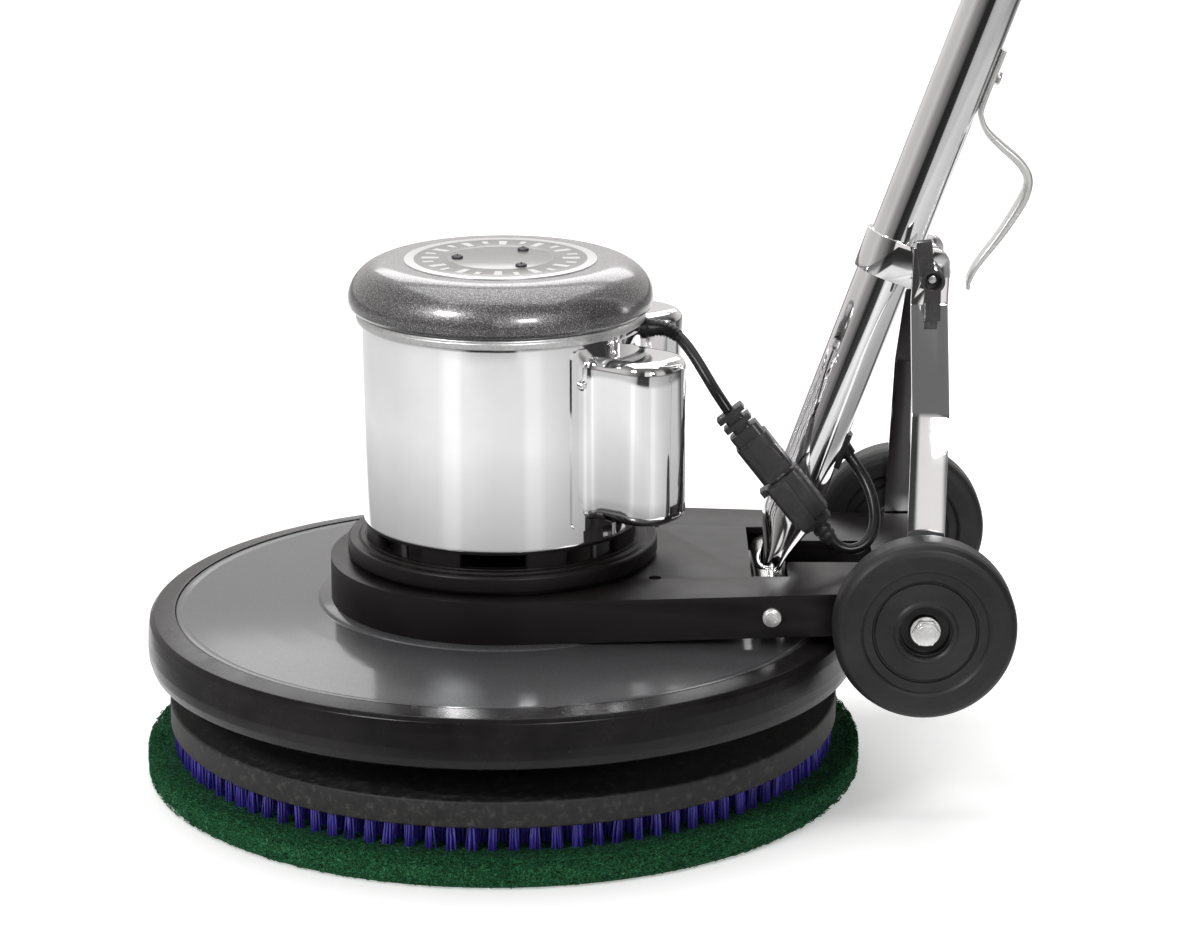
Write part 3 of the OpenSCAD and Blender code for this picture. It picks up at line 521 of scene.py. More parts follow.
def stitch(work, rings):
    """Joins closed rings of vertices, one after another, and caps both ends."""
    for low, high in zip(rings, rings[1:]):
        for k in range(len(low)):
            n = (k + 1) % len(low)
            work.faces.new((low[k], low[n], high[n], high[k]))
    work.faces.new(rings[0][::-1])
    work.faces.new(rings[-1])


def add_tube(work, line, radius, sides):
    side = (line[1] - line[0]).orthogonal().normalized()
    rings, travelled = [], 0.0
    for i, point in enumerate(line):
        if i:
            travelled += (point - line[i - 1]).length
        way = (line[min(i + 1, len(line) - 1)] - line[max(i - 1, 0)]).normalized()
        side = (side - way * side.dot(way)).normalized()
        up = way.cross(side)
        r = radius(travelled) if callable(radius) else radius
        rings.append([work.verts.new(point + side * (r * math.cos(2 * math.pi * k / sides))
                                     + up * (r * math.sin(2 * math.pi * k / sides))) for k in range(sides)])
    stitch(work, rings)


# ---------------------------------------------------------------- cords

LEAD_RADIUS = 0.0039
LEAD_ROUTE = [(0.103, 0, 0.317), (0.11, 0, 0.317), (0.1176, -0.0018, 0.3154), (0.1246, -0.006, 0.3114),
              (0.131, -0.0126, 0.3052), (0.137, -0.0198, 0.2976), (0.143, -0.027, 0.289),
              (0.1496, -0.0338, 0.2794), (0.1583, -0.038, 0.2669)]
HANDLE_ROUTE = [(0.231, -0.038, 0.1739), (0.2369, -0.0382, 0.1691), (0.2444, -0.0378, 0.1672),
                (0.2519, -0.0362, 0.1689), (0.2578, -0.033, 0.1739), (0.2614, -0.028, 0.1812),
                (0.2619, -0.021, 0.1904), (0.2598, -0.0136, 0.2002), (0.2556, -0.0068, 0.2094),
                (0.25, -0.002, 0.2174), (0.2442, 0, 0.2252)]


def make_plugs():
    """The two halves of the motor's connector and the clip under the handle lead."""
    piece("gland_clip", refined("lead_gland", 0.7), "lead_gland")
    plug = piece("plug_body", refined("lead_plug", 0.9, angle=28), "lead_plug")
    connector = piece("connector_body", refined("lead_connector", 0.9, angle=28), "lead_connector")
    return plug, connector


def make_cords():
    plug, connector = make_plugs()
    motor_line = smooth_route(LEAD_ROUTE, 8)
    motor = piece("motor_cord", tube_along("motor_cord", motor_line, LEAD_RADIUS), "motor_lead")
    handle_line = smooth_route(HANDLE_ROUTE, 8)[::-1]
    mesh = tube_along("handle_cord", handle_line, LEAD_RADIUS)
    handle = bpy.data.objects.new("handle_cord", mesh)
    bpy.context.scene.collection.objects.link(handle)
    mesh.materials.append(MATERIALS["cord_rubber"])
    soften(mesh)
    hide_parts("handle_lead")
    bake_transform(handle)
    return motor_line


motor_line = make_cords()


# ---------------------------------------------------------------- pad and brush

def ends(node):
    """Outside radius, lowest z and highest z, in millimetres, of a node round about the motor's axis."""
    low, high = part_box(node)
    return high.x / MM, low.z / MM, high.z / MM


PAD_R, PAD_LOW, PAD_TOP = ends("pad")
BLOCK_R, BLOCK_LOW, BLOCK_TOP = ends("brush_block")[0], ends("brush_block")[1], 55.0


def make_pad():
    random.seed(11)
    line = fillets([(0, PAD_LOW), (PAD_R - 3, PAD_LOW, 0), (PAD_R, PAD_LOW + 4, 3), (PAD_R, PAD_TOP - 4, 3),
                    (PAD_R - 4, PAD_TOP, 3), (PAD_R - 8, PAD_TOP), (PAD_R - 13, PAD_TOP),
                    (PAD_R - 18, PAD_TOP), (PAD_R - 24, PAD_TOP), (0, PAD_TOP)], steps=4)
    work = bmesh.new()
    lathe_into(work, line, 720)
    for vert in work.verts:
        reach = math.hypot(vert.co.x, vert.co.y) / MM
        if reach < PAD_R - 30 or vert.co.z < 1 * MM:
            continue
        coarse = noise.noise(vert.co * 55)
        fine = noise.noise(vert.co * 330)
        away = Vector((vert.co.x, vert.co.y, 0)).normalized()
        vert.co += away * (0.6 * coarse + 0.7 * fine) * MM
        vert.co.z += (0.5 * coarse + 0.6 * fine) * MM * (1 if vert.co.z > 10 * MM else 0.2)
    pad = piece("floor_pad", closed(work, "floor_pad"), "pad", angle=70)


def make_pad_fibres():
    """Loose bent fibres that stand out of the pad's rim and upper face."""
    random.seed(5)
    work = bmesh.new()
    for _ in range(15000):
        turn = random.uniform(0, 2 * math.pi)
        if random.random() < 0.6:
            reach, z, out = PAD_R - 0.4, random.uniform(PAD_LOW + 1.2, PAD_TOP - 0.5), 1.0
        else:
            reach, z, out = PAD_R - abs(random.gauss(0, 9)), PAD_TOP + 0.1, 0.25
        away = Vector((math.cos(turn), math.sin(turn), 0))
        along = Vector((-away.y, away.x, 0))
        start = (away * reach + Vector((0, 0, z))) * MM
        lean = random.uniform(-1, 1)
        way = along * random.choice((-1, 1)) + Vector((0, 0, lean * (0.9 if out > 0.5 else 0.2)))
        way += away * random.uniform(-0.5, 0.5) * (0.4 if out > 0.5 else 1.4)
        reach = random.uniform(2.5, 7.0) * MM
        hump = (away * out + Vector((0, 0, 1.1 - out))) * random.uniform(0.4, 1.5) * MM
        line = [start - way.normalized() * reach * 0.5 - hump * 0.4, start + hump,
                start + way.normalized() * reach * 0.5 - hump * 0.4]
        if min(p.z for p in line) < 0.4 * MM:
            continue
        add_tube(work, line, random.uniform(0.18, 0.36) * MM, 3)
    web = closed(work, "pad_fibres")
    # painted light: the loose fibres take a lighter copy of the pad's green, as if they catch more light
    piece("pad_fibres", web, "pad", material=green_pad("pad_fibre", 2.6).material, replace=False)


def tuft_places():
    """(radius, angle in degrees, tuft radius) of every tuft, as drilled in the brush block."""
    rows = [(232, 104, 0.0, 3.75), (218, 96, 1.7, 3.75)]
    rows += [(r, int(2 * math.pi * r // 24), r / 9, 5.5) for r in range(196, 99, -24)]
    return [(r, turn + i * 360 / count, size) for r, count, turn, size in rows for i in range(count)]


def make_bristles():
    random.seed(3)
    work = bmesh.new()
    foot, root = PAD_TOP - 0.6, BLOCK_LOW + 0.5
    for r, turn, size in tuft_places():
        outer = r > 200
        count = 9 if outer else 6
        away = Vector((math.cos(math.radians(turn)), math.sin(math.radians(turn)), 0))
        along = Vector((-away.y, away.x, 0))
        bent = random.uniform(-0.9, 0.9)
        for k in range(count):
            spread = size * 0.78 * math.sqrt((k + 0.5) / count)
            a = k * 2.39996 + turn
            off = away * math.cos(a) * spread + along * math.sin(a) * spread
            splay = 1.2 + random.uniform(-0.2, 0.3)
            top = away * r + off + Vector((0, 0, root))
            low = away * (r + random.uniform(-0.4, 0.4)) + off * splay + along * bent + Vector((0, 0, foot))
            low += along * random.uniform(-1.0, 1.0) + Vector((0, 0, random.uniform(0, 1.3)))
            middle = (top + low) / 2 + along * random.uniform(-0.25, 0.25) + off * 0.04
            thick = random.uniform(0.62, 0.8) * (1 if outer else 1.6)
            add_tube(work, [top * MM, middle * MM, low * MM], thick * MM, 5)
    piece("brush_tufts", closed(work, "brush_tufts"), "bristles", angle=60)


def make_brush_block():
    low, top, riser = BLOCK_LOW, BLOCK_TOP, ends("brush_block")[2]
    mesh = lathe("brush_block_body", [(40, low), (BLOCK_R, low, 1.6), (BLOCK_R, top, 2.2), (92, top, 1),
                                      (92, riser, 1), (72, riser), (72, top), (40, top)], 320)
    piece("brush_block_body", mesh, "brush_block")


make_pad()
make_pad_fibres()
make_bristles()
make_brush_block()


# ---------------------------------------------------------------- apron, bumper, chassis

def make_skirts():
    bumper_r, low, top = ends("bumper")
    rim = 232.6
    mesh = lathe("bumper_ring", [
        (238.5, low, 1.5), (bumper_r - 2.5, low, 3), (bumper_r - 0.4, low + 7, 6), (bumper_r, low + 14, 8),
        (bumper_r - 0.6, low + 25, 8), (bumper_r - 1.6, top - 2.8, 2.2), (bumper_r - 4.4, top, 1.6),
        (rim + 1.6, top + 2.1, 0.7), (rim, top + 2.0), (238.5, top - 2)], 360)
    piece("bumper_ring", mesh, "bumper", angle=40)
    low = ends("apron")[1]
    mesh = lathe("apron_pan", [
        (96, 119), (131, 118.6, 8), (180, 116.2, 20), (226, 112.6, 8), (232, 110.5, 2), (235.5, 108.5, 2),
        (235.5, low, 0.6), (238.3, low, 0.6), (238.3, 112.2, 1.5), (rim, 116, 0.4), (rim - 0.6, 117.4, 0.9),
        (rim - 3.6, 117.7, 1.4), (rim - 6.6, 116.9, 1.6), (205, 118.6, 14), (180, 120.3, 14), (155, 121.6, 9),
        (131.5, 122.5, 3), (129, 124), (96, 124)], 360)
    piece("apron_pan", mesh, "apron", material=apron_paint().material, angle=40)


def make_chassis():
    piece("chassis_deck", refined("chassis", 1.1), "chassis", angle=30)
    piece("pivot_pin_rod", refined("pivot_pin", 0.7), "pivot_pin", material=SILVER)
    piece("axle_rod", refined("axle_shaft", 0.6), "axle_shaft")


def ring_part(work, r_in, r_out, low, high, start, sweep, steps=18, corner=1.0):
    """A stretch of ring from angle start through sweep degrees, with its outer upright edges rounded."""
    def rim(inset_in, inset_out, a):
        turn = math.radians(a)
        return [work.verts.new(Vector((r * math.cos(turn), r * math.sin(turn), z)) * MM)
                for r, z in ((r_in + inset_in, low), (r_out - inset_out, low),
                             (r_out - inset_out, high), (r_in + inset_in, high))]
    span = math.degrees(corner / r_out)
    turns = [(start, corner), (start + span * 0.3, corner * 0.3), (start + span, 0.0)]
    turns += [(start + span + (sweep - 2 * span) * k / steps, 0.0) for k in range(1, steps + 1)]
    turns += [(start + sweep - span * 0.3, corner * 0.3), (start + sweep, corner)]
    rims = [rim(0, inset, a) for a, inset in turns]
    stitch(work, rims)


def make_flange():
    outside, low, high = ends("motor_flange")
    ridge = low + 14.4
    work = bmesh.new()
    lathe_into(work, fillets([
        (15, low), (105, low, 0.5), (105, low + 3, 0.8), (outside, low + 3, 1), (outside, ridge, 2.2),
        (102, ridge - 0.6, 1.5), (100.5, ridge + 0.8, 1.2), (97, ridge + 0.8, 1), (97, low + 16, 0.3),
        (91, low + 16, 0.3), (91, low + 8, 2), (31, low + 8, 1), (31, low + 18, 0.8), (26, low + 18),
        (26, low + 4), (15, low + 4)], True), 300)
    lathe_into(work, fillets([(91, high - 2), (97, high - 2, 0.4), (97, high), (91, high)], True), 300)
    vents, opening = 8, 27.0
    for k in range(vents):
        ring_part(work, 91, 97, low + 15.9, high - 1.9, -92 + opening / 2 + k * 45, 45 - opening, corner=1.4)
    piece("flange_casting", closed(work, "flange_casting"), "motor_flange")


make_skirts()
make_chassis()
make_flange()


# ---------------------------------------------------------------- motor

def make_shell():
    shell_r, low, high = ends("motor_shell")
    mesh = lathe("shell_tube", [(shell_r - 2, low), (shell_r, low, 0.7), (shell_r, low + 2.2),
                                (shell_r, high - 2.2), (shell_r, high, 0.7), (shell_r - 2, high)], 384)
    piece("shell_tube", mesh, "motor_shell")
    bell_r = ends("top_bell")[0]
    piece("bell_casting", refined("top_bell", 0.5), "top_bell")
    work = bmesh.new()
    lathe_into(work, fillets([(shell_r - 1, high - 0.2), (bell_r, high + 0.2, 0.5),
                              (bell_r + 0.2, high + 4, 1), (bell_r - 1, high + 6.6, 0.8),
                              (shell_r - 1, high + 6.6)], True), 384)
    piece("bell_rim", closed(work, "bell_rim"), "top_bell", replace=False)


def make_cap():
    widest, low, top = ends("motor_cap")
    flat, wide_z, wall = 76.0, 340.0, 2.5
    shoulder = [(flat + (widest - flat) * math.sin(math.radians(a)),
                 wide_z + (top - wide_z) * math.cos(math.radians(a))) for a in range(0, 91, 4)]
    inner = [(flat + (widest - wall - flat) * math.sin(math.radians(a)),
              wide_z + (top - wall - wide_z) * math.cos(math.radians(a))) for a in range(88, -1, -4)]
    skirt = [(widest - 0.3, wide_z - 3), (widest - 1.2, wide_z - 5), (103.6, low + 0.5), (103, low),
             (100.6, low), (widest - wall - 1, wide_z - 3)]
    mesh = lathe("cap_dome", [(0, top)] + shoulder + skirt + inner + [(0, top - wall)], 384)
    piece("cap_dome", mesh, "motor_cap", angle=40)


def make_badge():
    """Printed disc: silver border, grey ring with plain ticks, silver middle. It carries no lettering."""
    border, low = ends("cap_badge")[:2]
    face = low + 0.75
    base = lathe("badge_plate", [(0, low), (border, low), (border, face, 0.4), (0, face)], 256,
                 closed_line=False)
    piece("badge_plate", base, "cap_badge")
    grey = Shader("badge_grey", (0.2, 0.2, 0.195), 0.34, 0.2, Coat_Weight=0.4, Coat_Roughness=0.12)
    grey.color(grey.ramp(grey.noise(1100, 3), (0.3, (0.085, 0.083, 0.079)), (0.7, (0.14, 0.138, 0.131))))
    ring = lathe("badge_ring", [(36.6, low + 0.2), (60.4, low + 0.2), (60.4, face + 0.12, 0.1),
                                (36.6, face + 0.12, 0.1)], 256)
    piece("badge_ring", ring, "cap_badge", material=grey.material, replace=False)
    middle = silver_print("badge_middle", (0.1, 0.098, 0.096), (0.155, 0.152, 0.149)).material
    disc = lathe("badge_middle", [(0, low + 0.2), (36.4, low + 0.2), (36.4, face + 0.1, 0.1),
                                  (0, face + 0.1)], 192, closed_line=False)
    piece("badge_middle", disc, "cap_badge", material=middle, replace=False)
    work = bmesh.new()
    for k in range(24):
        inside, sweep = (43, 6.2) if k % 2 == 0 else (47.5, 4.2)
        ring_part(work, inside, 55, face, face + 0.2, k * 15 - 3.1, sweep, steps=6, corner=0.3)
    piece("badge_ticks", closed(work, "badge_ticks"), "cap_badge", replace=False)


def pan_screw(work, place, radius, height):
    """A pan head with a cross recess, added to work; its axis is the place's Z."""
    head = bmesh.new()
    lathe_into(head, fillets([(0, 0), (radius, 0, 0.2), (radius, height * 0.55, height * 0.4),
                              (radius * 0.55, height, height * 0.5), (0, height)], steps=4), 40)
    head = closed(head, "head")
    arm, half = radius * 0.58, radius * 0.13
    quarter = [(arm, half), (half, half), (half, arm)]
    outline = []
    for _ in range(4):
        outline += quarter
        quarter = [(-y, x) for x, y in quarter]
    cross = bmesh.new()
    stitch(cross, [[cross.verts.new(Vector((x, y, z)) * MM) for x, y in outline]
                   for z in (height * 0.45, height * 1.6)])
    cross = closed(cross, "cross")
    made = cut(head, cross, "screw_head")
    made.transform(place)
    work.from_mesh(made)


def outward(turn, reach, z):
    """A place on the motor's side whose Z axis points straight out."""
    a = math.radians(turn)
    return (Matrix.Rotation(a, 4, "Z") @ Matrix.Translation((reach * MM, 0, z * MM))
            @ Matrix.Rotation(math.pi / 2, 4, "Y"))


def make_screws():
    work = bmesh.new()
    top = ends("cap_badge")[2]
    for turn in (60, 180, 300):
        a = math.radians(turn)
        pan_screw(work, Matrix.Translation((30 * MM * math.cos(a), 30 * MM * math.sin(a), top * MM)), 4, 1.9)
    piece("cap_screw_heads", closed(work, "cap_screw_heads"), "cap_screws", material=DARK_STEEL)
    work = bmesh.new()
    for side in (-1, 1):
        for step in (-18.8, 18.8):
            pan_screw(work, outward(side * COVER_TURN + step, 99.5, 296), 3.6, 2.1)
    piece("cover_screw_heads", closed(work, "cover_screw_heads"), "cover_screws")


COVER_TURN, COVER_HALF, COVER_OUT, COVER_CORNER = 36.0, 27.0, 150.5, 23.5
FLARE_R = 99.4


def cover_outline(inset):
    """Half outline of a capacitor cover at one height, from the shell out to the middle of its face."""
    w, out = COVER_HALF - inset, COVER_OUT - inset
    flare = ((-1.8, 5.5), (0.1, 4.6), (0.6, 3.0), (1.7, 1.3), (3.9, 0.3), (7.5, 0.0))
    line = [(math.sqrt(FLARE_R ** 2 - (w + y) ** 2) + x, w + y) for x, y in flare]
    line += [(107 + 4 * k, w) for k in range(5)]
    r = COVER_CORNER - inset
    line += [(out - r + r * math.sin(math.radians(a)), w - r + r * math.cos(math.radians(a)))
             for a in range(0, 91, 9)]
    return line


def cover_shell(side):
    low, high = 200.0, 315.0
    edge = 8.5
    work = bmesh.new()
    levels = [(low + edge * (1 - math.cos(math.radians(a))), edge * (1 - math.sin(math.radians(a))))
              for a in range(0, 91, 10)]
    steps = [(low + edge + (high - low - 2 * edge) * k / 10, 0.0) for k in range(1, 10)]
    column = levels + steps + [(high + low - z, inset) for z, inset in levels[::-1]]
    rows = []
    for z, inset in column:
        half = cover_outline(inset)
        full = [(x, -y) for x, y in half] + [(x, y) for x, y in half[::-1]]
        rows.append([work.verts.new(Vector((x, y, z)) * MM) for x, y in full])
    stitch(work, rows)
    shell_r, thick = 98.03, 1.45
    bottom, top, half_turn, corner = 193.0, 321.0, 23.5, 7.0
    columns = 60
    strip = []
    for k in range(columns + 1):
        turn = -half_turn + 2 * half_turn * k / columns
        over = max(0.0, math.radians(abs(turn)) * shell_r - math.radians(half_turn) * shell_r + corner)
        trim = corner - math.sqrt(max(0.0, corner ** 2 - over ** 2))
        a = math.radians(turn)
        ring = []
        for r, z in ((shell_r, bottom + trim), (shell_r + thick, bottom + trim),
                     (shell_r + thick, top - trim), (shell_r, top - trim)):
            ring.append(work.verts.new(Vector((r * math.cos(a), r * math.sin(a), z)) * MM))
        strip.append(ring)
    stitch(work, strip)
    bmesh.ops.rotate(work, verts=work.verts, cent=(0, 0, 0),
                     matrix=Matrix.Rotation(math.radians(side * COVER_TURN), 3, "Z"))
    return closed(work, "cover")


def make_covers():
    piece("near_cover", cover_shell(-1), "capacitor_cover_near", angle=38)
    piece("far_cover", cover_shell(1), "capacitor_cover_far", angle=38)


def make_strain_relief():
    """Tapered, ringed sleeve over the motor lead where it leaves the shell."""
    reach = 24 * MM

    def radius(d):
        taper = 6.6 - 2.2 * min(1.0, d / reach)
        return (taper - (0.7 if int(d / (1.5 * MM)) % 2 and d > 3 * MM else 0.0)) * MM

    line, travelled = [motor_line[0]], 0.0
    fine = smooth_route(LEAD_ROUTE, 40)
    for a, b in zip(fine, fine[1:]):
        travelled += (b - a).length
        if travelled > reach:
            break
        line.append(b)
    sleeve = tube_along("relief", line, radius, 32)
    collar = lathe("collar", [(0, 91, 0), (6.5, 91, 0), (6.5, 98.2, 0), (7.6, 98.2, 0.4), (7.6, 101.2, 1),
                              (6.6, 103.2, 0.4), (0, 103.2)], 48, Matrix.Translation((0, 0, 0.317))
                   @ Matrix.Rotation(math.pi / 2, 4, "Y"), closed_line=False)
    piece("strain_relief", join_meshes("strain_relief", sleeve, collar), "motor_bushing", angle=40)


make_shell()
make_cap()
make_badge()
make_screws()
make_covers()
make_strain_relief()


# ---------------------------------------------------------------- wheels

AXLE = (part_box("axle_shaft")[0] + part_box("axle_shaft")[1]) / 2


def wheel_profile():
    low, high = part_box("wheel_near")
    r, w = (high.z - low.z) / 2 / MM, (high.y - low.y) / MM
    hub = [(6.4, 6), (9.8, 6, 0.3), (10.4, 11, 0.5), (16.6, 11, 0.5), (17, 5.2, 0.3)]
    face = [(17.6, 5.2, 0.3), (18.2, 1.8, 0.8), (20.3, 0.3, 0.8), (22.4, 1.9, 0.8), (25, 2.1, 0.3),
            (34.0, 2.7, 0.4), (34.6, 4.4, 0.3), (35.8, 4.4, 0.3), (36.4, 2.6, 0.4), (42.2, 2.6, 0.5),
            (43.2, 1.2, 0.5), (44.8, 0.1, 0.6), (54, 0, 4), (58.6, 0.9, 4), (61.4, 3.8, 4), (r, 8, 3)]
    back = [(x, w - y, *rest) for x, y, *rest in face[::-1]]
    return hub + face + back + [(6.4, w - 0.6)]


def make_wheels():
    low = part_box("wheel_near")[0]
    profile = wheel_profile()
    near = about_y(Vector((AXLE.x, low.y, AXLE.z)))
    far = about_y(Vector((AXLE.x, -low.y, AXLE.z)), -1)
    piece("near_tyre", lathe("near_tyre", profile, 200, near), "wheel_near", angle=24)
    piece("far_tyre", lathe("far_tyre", profile, 200, far), "wheel_far", angle=24)
    piece("hub_nuts", refined("axle_nuts", 0.5), "axle_nuts", material=SILVER)


make_wheels()


# ---------------------------------------------------------------- handle

PIVOT = Vector((0.187, 0, 0.139))
LEAN = math.radians(20)
HANDLE = Matrix.Translation(PIVOT) @ Matrix.Rotation(LEAN, 4, "Y")
TUBE_R, TUBE_TOP = 19.05, 1030.0


def tube_ring(s):
    """Outline of the handle tube s millimetres above the pivot: a pressed foot that opens into a tube."""
    sides = 96
    press = min(1.0, max(0.0, (s - 10) / 38))
    press = press * press * (3 - 2 * press)
    half_t, half_y = 8.0, 23.0
    ring = []
    for k in range(sides):
        a = 2 * math.pi * k / sides
        c, d = math.cos(a), math.sin(a)
        flat = Vector((math.copysign(abs(c) ** 0.45 * half_t, c), math.copysign(abs(d) ** 0.9 * half_y, d)))
        ring.append(flat.lerp(Vector((c, d)) * TUBE_R, press))
    return ring


def make_tube():
    work = bmesh.new()
    levels = [9.2, 10, 12] + list(range(14, 50, 2)) + [60, 100, 200, 400, 700, TUBE_TOP - 1, TUBE_TOP]
    rings = []
    for s in levels:
        rings.append([work.verts.new(HANDLE @ (Vector((p.x, p.y, s)) * MM)) for p in tube_ring(s)])
    stitch(work, rings)
    random.seed(2)
    # the lumpy weld round the foot
    for k in range(64):
        p = tube_ring(10)[int(k * 96 / 64)]
        size = random.uniform(1.5, 2.3)
        spot = HANDLE @ (Vector((p.x, p.y, 9.4 - 0.06 * abs(p.x) ** 2 + random.uniform(-0.4, 0.4))) * MM)
        bmesh.ops.create_icosphere(work, subdivisions=2, radius=size * MM, matrix=Matrix.Translation(spot))
    piece("handle_pipe", closed(work, "handle_pipe"), "handle_tube", angle=40)


# a hook's strip, in millimetres: distance behind the tube's axis, distance along it, half thickness
HOOK_LINE = [(20.8, 20, 1.7), (20.8, -20, 1.7), (23.4, -29, 1.9), (31, -36.5, 2.3), (44, -42.5, 2.7),
             (58, -48, 3), (67.5, -55, 3.2), (71.2, -65, 3.2), (70.6, -78, 3.1), (65.6, -101, 2.6),
             (58.8, -124, 2), (57, -137, 1.6), (58.4, -143.5, 1.2)]
HOOK_HALF_WIDTH = 7.0
# where each hook is screwed on, in millimetres above the pivot, and whether it is upright (1) or upside down
HOOKS = ((385, 1), (792, -1))


def hook_section(half):
    """Outline of the strip across its length: a bar with rounded corners."""
    corner = 0.7 * half
    centres = ((1, 1), (-1, 1), (-1, -1), (1, -1))
    return [(u * (HOOK_HALF_WIDTH - corner) + corner * math.cos(math.radians(90 * q + a)),
             v * (half - corner) + corner * math.sin(math.radians(90 * q + a)))
            for q, (u, v) in enumerate(centres) for a in range(0, 91, 18)]


def make_hooks():
    line = smooth_route(HOOK_LINE, 6)
    work = bmesh.new()
    for s, way in HOOKS:
        rings = []
        for i, point in enumerate(line):
            ahead = (line[min(i + 1, len(line) - 1)] - line[max(i - 1, 0)]).xy.normalized()
            ring = []
            for u, v in hook_section(point.z):
                x, along = point.x - ahead.y * v, point.y + ahead.x * v
                ring.append(work.verts.new(HANDLE @ (Vector((x, u, s + way * along)) * MM)))
            rings.append(ring)
        stitch(work, rings)
    piece("hook_strips", closed(work, "hook_strips"), "cord_hooks", material=SILVER, angle=50)
    piece("hook_bolts", refined("hook_screws", 0.5), "hook_screws")


def make_clamp():
    piece("clamp_strap", refined("clamp_band", 0.55), "clamp_band")
    piece("clamp_rod", refined("clamp_bolt", 0.5), "clamp_bolt")
    piece("tee_lever", refined("clamp_lever", 1.4, 4), "clamp_lever")
    piece("brace_fork", refined("brace", 0.7, 3), "brace")


def make_grips():
    """Ribbed rubber grips on the handlebar."""
    bar_s = 1078.0
    start, finish = 68.0, 188.0
    parts = []
    for side in (-1, 1):
        line = [(11, start), (18.6, start, 0.8), (19, start + 5, 1.5), (16, start + 7, 1)]
        rib = start + 12
        while rib < finish - 12:
            line += [(16.0, rib, 0.4), (16.7, rib + 1.2, 0.6), (16.7, rib + 3.2, 0.6), (16.0, rib + 4.4, 0.4)]
            rib += 7.5
        line += [(16, finish - 8, 1), (17.4, finish - 6, 1), (17.4, finish, 2.4), (0, finish),
                 (0, finish - 3), (11, finish - 3)]
        place = HANDLE @ Matrix.Translation((0, 0, bar_s * MM)) @ Matrix.Rotation(-side * math.pi / 2, 4, "X")
        work = bmesh.new()
        lathe_into(work, fillets(line, True, 3), 72, place)
        parts.append(closed(work, "grip"))
    piece("grip_sleeves", join_meshes("grip_sleeves", *parts), "grips", angle=40)


def make_switch_box():
    piece("box_housing", refined("switch_box", 2.2, 4), "switch_box")
    piece("trigger_paddles", refined("triggers", 1.4, 4), "triggers")
    piece("lock_knob", refined("lock_button", 1.2, 4), "lock_button")


make_tube()
make_hooks()
make_clamp()
make_grips()
make_switch_box()


# ---------------------------------------------------------------- studio

def stage_plane(name, size, material, place):
    work = bmesh.new()
    bmesh.ops.create_grid(work, x_segments=1, y_segments=1, size=size)
    mesh = bpy.data.meshes.new(name)
    work.to_mesh(mesh)
    work.free()
    mesh.materials.append(material)
    thing = bpy.data.objects.new(name, mesh)
    thing.matrix_world = place
    bpy.context.scene.collection.objects.link(thing)


def soft_light(name, place, target, width, height, power, glint=False):
    """An area light; a glint shows in reflections and lights nothing else."""
    data = bpy.data.lights.new(name, "AREA")
    data.shape = "RECTANGLE"
    data.size, data.size_y = width, height
    data.energy = power
    light = bpy.data.objects.new(name, data)
    light.location = place
    light.rotation_euler = (Vector(target) - Vector(place)).to_track_quat("-Z", "Y").to_euler()
    light.visible_diffuse = not glint
    bpy.context.scene.collection.objects.link(light)


def make_world():
    """A pale room behind the machine, banded with dark towards the camera for the chrome to mirror."""
    world = bpy.data.worlds.new("room")
    world.use_nodes = True
    tree = world.node_tree
    shade = tree.nodes["Background"]
    where = tree.nodes.new("ShaderNodeTexCoord").outputs["Generated"]
    turn = tree.nodes.new("ShaderNodeTexGradient")
    turn.gradient_type = "RADIAL"
    tree.links.new(where, turn.inputs["Vector"])
    bands = tree.nodes.new("ShaderNodeValToRGB")
    stops = [(0.0, 0.7), (0.05, 0.75), (0.085, 0.5), (0.105, 0.36), (0.141, 0.28), (0.175, 0.16), (0.2, 0.06),
             (0.235, 0.06), (0.242, 1.0), (0.3, 1.0), (0.31, 0.12), (0.33, 0.12), (0.36, 0.7), (0.42, 0.75),
             (0.45, 0.06), (0.51, 0.05), (0.55, 0.55), (0.65, 0.95), (0.85, 0.95), (0.93, 0.75), (1.0, 0.7)]
    marks = bands.color_ramp.elements
    while len(marks) < len(stops):
        marks.new(0.5)
    for mark, (position, value) in zip(marks, stops):
        mark.position = position
        mark.color = (value, value * 0.97, value * 0.955, 1)
    tree.links.new(turn.outputs["Fac"], bands.inputs["Fac"])
    split = tree.nodes.new("ShaderNodeSeparateXYZ")
    tree.links.new(where, split.inputs["Vector"])
    height = tree.nodes.new("ShaderNodeValToRGB")
    height.color_ramp.elements[0].position = 0.4
    height.color_ramp.elements[1].position = 0.8
    tree.links.new(split.outputs["Z"], height.inputs["Fac"])
    blend = tree.nodes.new("ShaderNodeMix")
    blend.data_type = "RGBA"
    tree.links.new(height.outputs["Color"], blend.inputs[0])
    tree.links.new(bands.outputs["Color"], blend.inputs[6])
    blend.inputs[7].default_value = (0.2, 0.197, 0.195, 1)
    tree.links.new(blend.outputs[2], shade.inputs["Color"])
    shade.inputs["Strength"].default_value = 0.8
    bpy.context.scene.world = world


# the floor that the camera sees: its middle in x, and its growth in half width for each metre away
VIEW_MIDDLE, VIEW_SPREAD = 0.084, 0.167


